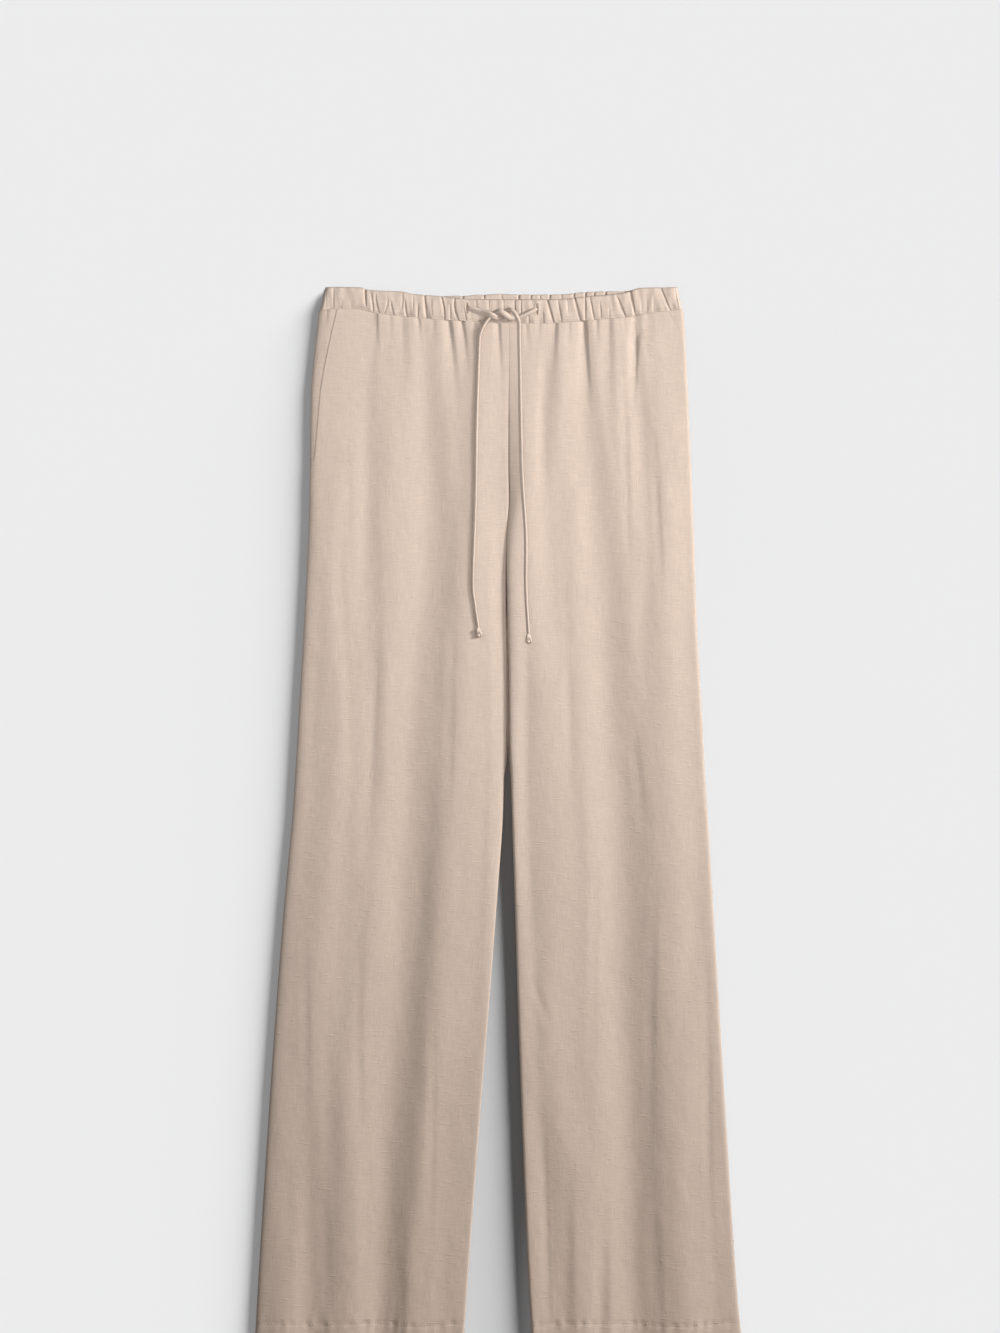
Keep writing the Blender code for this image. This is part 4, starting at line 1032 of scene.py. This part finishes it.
def cord_section(width, thickness, ridge):
    """The section of a folded cord: a low roof with round corners, as (across, up) points."""
    half = width / 2.0
    corners = (
        (half, CORD_UNDERSIDE),
        (0.45 * half * (1.0 + ridge), 0.1),
        (ridge * half, CORD_RIDGE),
        (0.6 * half * (ridge - 1.0), 0.4),
        (-half, -0.15),
        (-0.8 * half, CORD_UNDERSIDE),
        (0.0, CORD_UNDERSIDE),
    )
    section = np.array([(across, up * thickness) for across, up in corners])
    for _ in range(CORNER_CUTS):
        onward = np.roll(section, -1, axis=0)
        cuts = (0.75 * section + 0.25 * onward, 0.25 * section + 0.75 * onward)
        section = np.stack(cuts, axis=1).reshape(-1, 2)
    return section


def make_strand(leg, material):
    """One strand of the drawstring, as rings of a soft flat cord. Returns it with its centre line."""
    line = strand_line(leg)
    ways = unit(np.gradient(line, axis=0))
    side = unit(np.cross(ways, (0.0, 0.0, 1.0)), 1e-6)
    up = np.cross(side, ways)
    along = np.arange(len(line), dtype=float)
    angle = np.radians(through(ROLLS[leg], "angle", along))[:, None]
    flat = side * np.cos(angle) + up * np.sin(angle)
    thick = -side * np.sin(angle) + up * np.cos(angle)
    sizes = [through(ROLLS[leg], column, along) for column in ("width", "thickness", "ridge")]
    sections = np.array([cord_section(*size) for size in zip(*sizes)])
    rings = line[:, None] + flat[:, None] * sections[:, :, :1] + thick[:, None] * sections[:, :, 1:]
    around = np.linspace(0.0, CORD_GIRTH, sections.shape[1])
    cloth = np.broadcast_arrays(around, along[:, None], CORD_PATCH)
    item = tube("strand_" + leg, rings, np.stack(cloth, axis=2), material)
    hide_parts("drawstring_" + leg)
    return item, line


def make_tip_knot(leg, line, material):
    """The knot at a strand's tip: a cord round a trefoil."""
    way = unit(line[-1] - line[-4])
    side = unit(np.cross(way, (0.0, 0.0, 1.0)))
    up = np.cross(side, way)
    t = np.linspace(0.0, 2.0 * pi, TREFOIL_STEPS, endpoint=False)
    trefoil = (np.sin(t) + 2.0 * np.sin(2.0 * t), np.cos(t) - 2.0 * np.cos(2.0 * t), -np.sin(3.0 * t))
    loop = line[-1] + way * TREFOIL_AHEAD
    for share, axis, size in zip(trefoil, (side, way, up), TREFOIL_SIZE):
        loop = loop + share[:, None] * axis * size
    ways = unit(np.roll(loop, -1, axis=0) - np.roll(loop, 1, axis=0))
    first = unit(np.cross(ways, up))
    second = np.cross(ways, first)
    angle = np.linspace(0.0, 2.0 * pi, TREFOIL_SIDES, endpoint=False)
    rings = loop[:, None]
    for axis, share in ((first, np.cos(angle)), (second, np.sin(angle))):
        rings = rings + TREFOIL_CORD * (axis[:, None] * share[None, :, None])
    faces = quads(numbered(TREFOIL_STEPS, TREFOIL_SIDES), ring=True, loop=True)
    cloth = (angle * TREFOIL_CLOTH[0], np.arange(TREFOIL_STEPS)[:, None] * TREFOIL_CLOTH[1], 0.0)
    cloth = np.stack(np.broadcast_arrays(*cloth), axis=2).reshape(-1, 3)
    item = new_mesh("knot_" + leg, rings.reshape(-1, 3), faces, cloth, material)
    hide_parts("tip_knot_" + leg)
    return item


# ---- Materials


def node(tree, kind, values=None, **settings):
    """A new node with its settings and the values of its sockets. A socket's value is linked to it."""
    made = tree.nodes.new(kind)
    for key, value in settings.items():
        setattr(made, key, value)
    for name, value in (values or {}).items():
        if isinstance(value, bpy.types.NodeSocket):
            tree.links.new(value, made.inputs[name])
        else:
            made.inputs[name].default_value = value
    return made


def noise(tree, vector, grain):
    """A noise texture over a stretched copy of a vector."""
    mapping = node(tree, "ShaderNodeMapping", {"Vector": vector, "Scale": grain.scale})
    values = {
        "Vector": mapping.outputs["Vector"],
        "Scale": 1.0,
        "Detail": grain.detail,
        "Roughness": grain.roughness,
    }
    return node(tree, "ShaderNodeTexNoise", values, noise_dimensions="3D").outputs["Fac"]


def calculate(tree, operation, *values):
    """What a math node makes of numbers and sockets."""
    return node(tree, "ShaderNodeMath", dict(enumerate(values)), operation=operation).outputs["Value"]


def product(tree, first, second):
    """One number or socket times another."""
    return calculate(tree, "MULTIPLY", first, second)


def mapped(tree, value, low, high, to_low, to_high):
    """A value's range from low to high, eased to another range."""
    values = {"Value": value, "From Min": low, "From Max": high, "To Min": to_low, "To Max": to_high}
    return node(tree, "ShaderNodeMapRange", values, interpolation_type="SMOOTHSTEP").outputs["Result"]


def bumped(tree, height, strength, distance, **normal):
    """The normal over a relief of this height, on another normal where one is given."""
    values = {"Height": height, "Strength": strength, "Distance": distance, **normal}
    return node(tree, "ShaderNodeBump", values).outputs["Normal"]


def new_material(name, surface):
    """A material, and its shader with a surface's values in its sockets."""
    material = bpy.data.materials.new(name)
    material.use_nodes = True
    shader = material.node_tree.nodes["Principled BSDF"]
    for socket, value in surface.items():
        shader.inputs[socket].default_value = value
    return material, shader


def linen(name, colour, thread_pitch):
    """Plain-woven linen: fine threads, slubs along both of them, and a soft uneven tone."""
    material, shader = new_material(name, LINEN_SURFACE)
    tree = material.node_tree
    attribute = node(tree, "ShaderNodeAttribute", attribute_type="GEOMETRY", attribute_name="cloth")
    cloth = attribute.outputs["Vector"]

    warp, weft = (noise(tree, cloth, grain) for grain in (WARP, WEFT))
    varied = (*NOISE_RANGE, 1.0 - THREAD_TONE, 1.0 + THREAD_TONE)
    tone = product(tree, mapped(tree, warp, *varied), mapped(tree, weft, *varied))
    for slub in SLUBS:
        shown = mapped(tree, noise(tree, cloth, slub.grain), slub.low, slub.high, 0.0, 1.0)
        tone = product(tree, tone, mapped(tree, shown, 0.0, 1.0, 1.0, slub.tone))
    varied = (*NOISE_RANGE, 1.0 - BLOTCH_TONE, 1.0 + BLOTCH_TONE)
    tone = product(tree, tone, mapped(tree, noise(tree, cloth, BLOTCH), *varied))
    values = {"Factor": 1.0, "A": (*colour, 1.0), "B": tone}
    colours = node(tree, "ShaderNodeMix", values, data_type="RGBA", blend_type="MULTIPLY")
    tree.links.new(colours.outputs["Result"], shader.inputs["Base Color"])

    parts = node(tree, "ShaderNodeSeparateXYZ", {"Vector": cloth})
    turns = 2.0 * pi / (thread_pitch * MM)
    across, down = (calculate(tree, "SINE", product(tree, parts.outputs[axis], turns)) for axis in "XY")
    weave = product(tree, product(tree, across, down), WEAVE_HEIGHT)
    weave = calculate(tree, "ADD", weave, calculate(tree, "ADD", warp, weft))
    crumple = noise(tree, cloth, CRUMPLE)
    dashes = mapped(tree, noise(tree, cloth, DASHES), *DASH_RANGE, 0.0, DASH_HEIGHT)
    crumple = calculate(tree, "ADD", crumple, dashes)
    threads = bumped(tree, weave, *THREAD_BUMP)
    tree.links.new(bumped(tree, crumple, *CRUMPLE_BUMP, Normal=threads), shader.inputs["Normal"])
    return material


# ---- Studio


def make_camera():
    """The camera looks straight down, and is the scene's own."""
    camera = bpy.data.cameras.new("camera")
    camera.lens = LENS
    camera.sensor_width = SENSOR
    item = placed("camera", camera)
    x, y, z = VIEW_CENTRE
    item.location = (x, y, z + PICTURE_HEIGHT * LENS / SENSOR)
    bpy.context.scene.camera = item


def make_floor():
    """A plain pale floor."""
    mesh = bpy.data.meshes.new("floor")
    corners = ((-1, -1), (1, -1), (1, 1), (-1, 1))
    points = [(FLOOR_HALF * x, FLOOR_HALF * y, FLOOR_HEIGHT) for x, y in corners]
    mesh.from_pydata(points, [], [(0, 1, 2, 3)])
    mesh.materials.append(new_material("floor", FLOOR_SURFACE)[0])
    floor = placed("floor", mesh)
    return floor


def collection_of(name, items):
    """A collection outside the scene, for the lights to name."""
    collection = bpy.data.collections.new(name)
    for item in items:
        collection.objects.link(item)
    return collection


def make_light(lamp, receivers):
    """A light from its row in the table, which lights only its receivers."""
    light = bpy.data.lights.new(lamp.name, lamp.kind)
    light.energy = lamp.energy
    light.color = lamp.colour
    setattr(light, lamp.size_name, lamp.size)
    if not lamp.bounces:
        light.cycles.max_bounces = 0
    item = placed(lamp.name, light)
    item.location = lamp.place
    way = Vector(lamp.target) - Vector(lamp.place)
    item.rotation_euler = way.to_track_quat("-Z", "Y").to_euler()
    item.light_linking.receiver_collection = receivers
    return item


def make_lights(garment, floor):
    """Soft light from the wearer's left. The floor has lights of its own for its two shadows."""
    lit = {"cloth": collection_of("lit cloth", garment), "floor": collection_of("lit floor", [floor])}
    lights = {lamp.name: make_light(lamp, lit[lamp.lit]) for lamp in LAMPS}
    no_shadow = ("strand_right", "knot_right")
    key_blockers = [piece for piece in garment if piece.name not in no_shadow]
    right_leg = [piece for piece in garment if piece.name.endswith("leg_right")]
    lights["key"].light_linking.blocker_collection = collection_of("key blockers", key_blockers)
    lights["floor fill"].light_linking.blocker_collection = collection_of("fill blockers", right_leg)
    world = bpy.data.worlds.new("studio")
    world.use_nodes = True
    background = world.node_tree.nodes["Background"]
    background.inputs["Color"].default_value = (*WHITE, 1.0)
    background.inputs["Strength"].default_value = WORLD_STRENGTH
    bpy.context.scene.world = world
    bpy.context.scene.view_settings.view_transform = "Standard"


# ---- The whole


def make_drawstring(leg, material):
    """A strand and its tip knot."""
    item, line = make_strand(leg, material)
    knot = make_tip_knot(leg, line, material)
    length = float(np.linalg.norm(np.diff(line, axis=0), axis=1).sum()) * MM
    return [item, knot]


def make_leg(leg, material):
    """A leg's back, pocket bearing and front."""
    back = make_back_leg(leg, material)
    bearing = make_pocket_bearing(leg, material)
    front = make_front_leg(leg, material)
    return [back, bearing, front]


def make_waistband(material):
    """The two halves of the waistband."""
    back, front = make_back_band(material), make_front_band(material)
    return [back, front]


def main():
    """Make the garment and its studio."""
    make_camera()
    floor = make_floor()
    leg_cloth = linen("linen", LINEN_COLOUR, LINEN_PITCH)
    band_cloth = linen("waistband", LINEN_COLOUR, LINEN_PITCH)
    cord_cloth = linen("drawstring", CORD_COLOUR, CORD_PITCH)

    cords = [piece for leg in INWARD for piece in make_drawstring(leg, cord_cloth)]
    legs = [piece for leg in INWARD for piece in make_leg(leg, leg_cloth)]
    band = make_waistband(band_cloth)
    stitches = [band_stitches(leg_cloth)]
    for leg in INWARD:
        stitches += leg_stitches(leg, leg_cloth)
    garment = cords + legs + band + stitches
    for slot, pieces in (("drawstring", cords), ("linen", legs + stitches), ("waistband", band)):
        for piece in pieces:
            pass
    for piece in garment:
        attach(piece, "root")
    make_lights(garment, floor)


main()
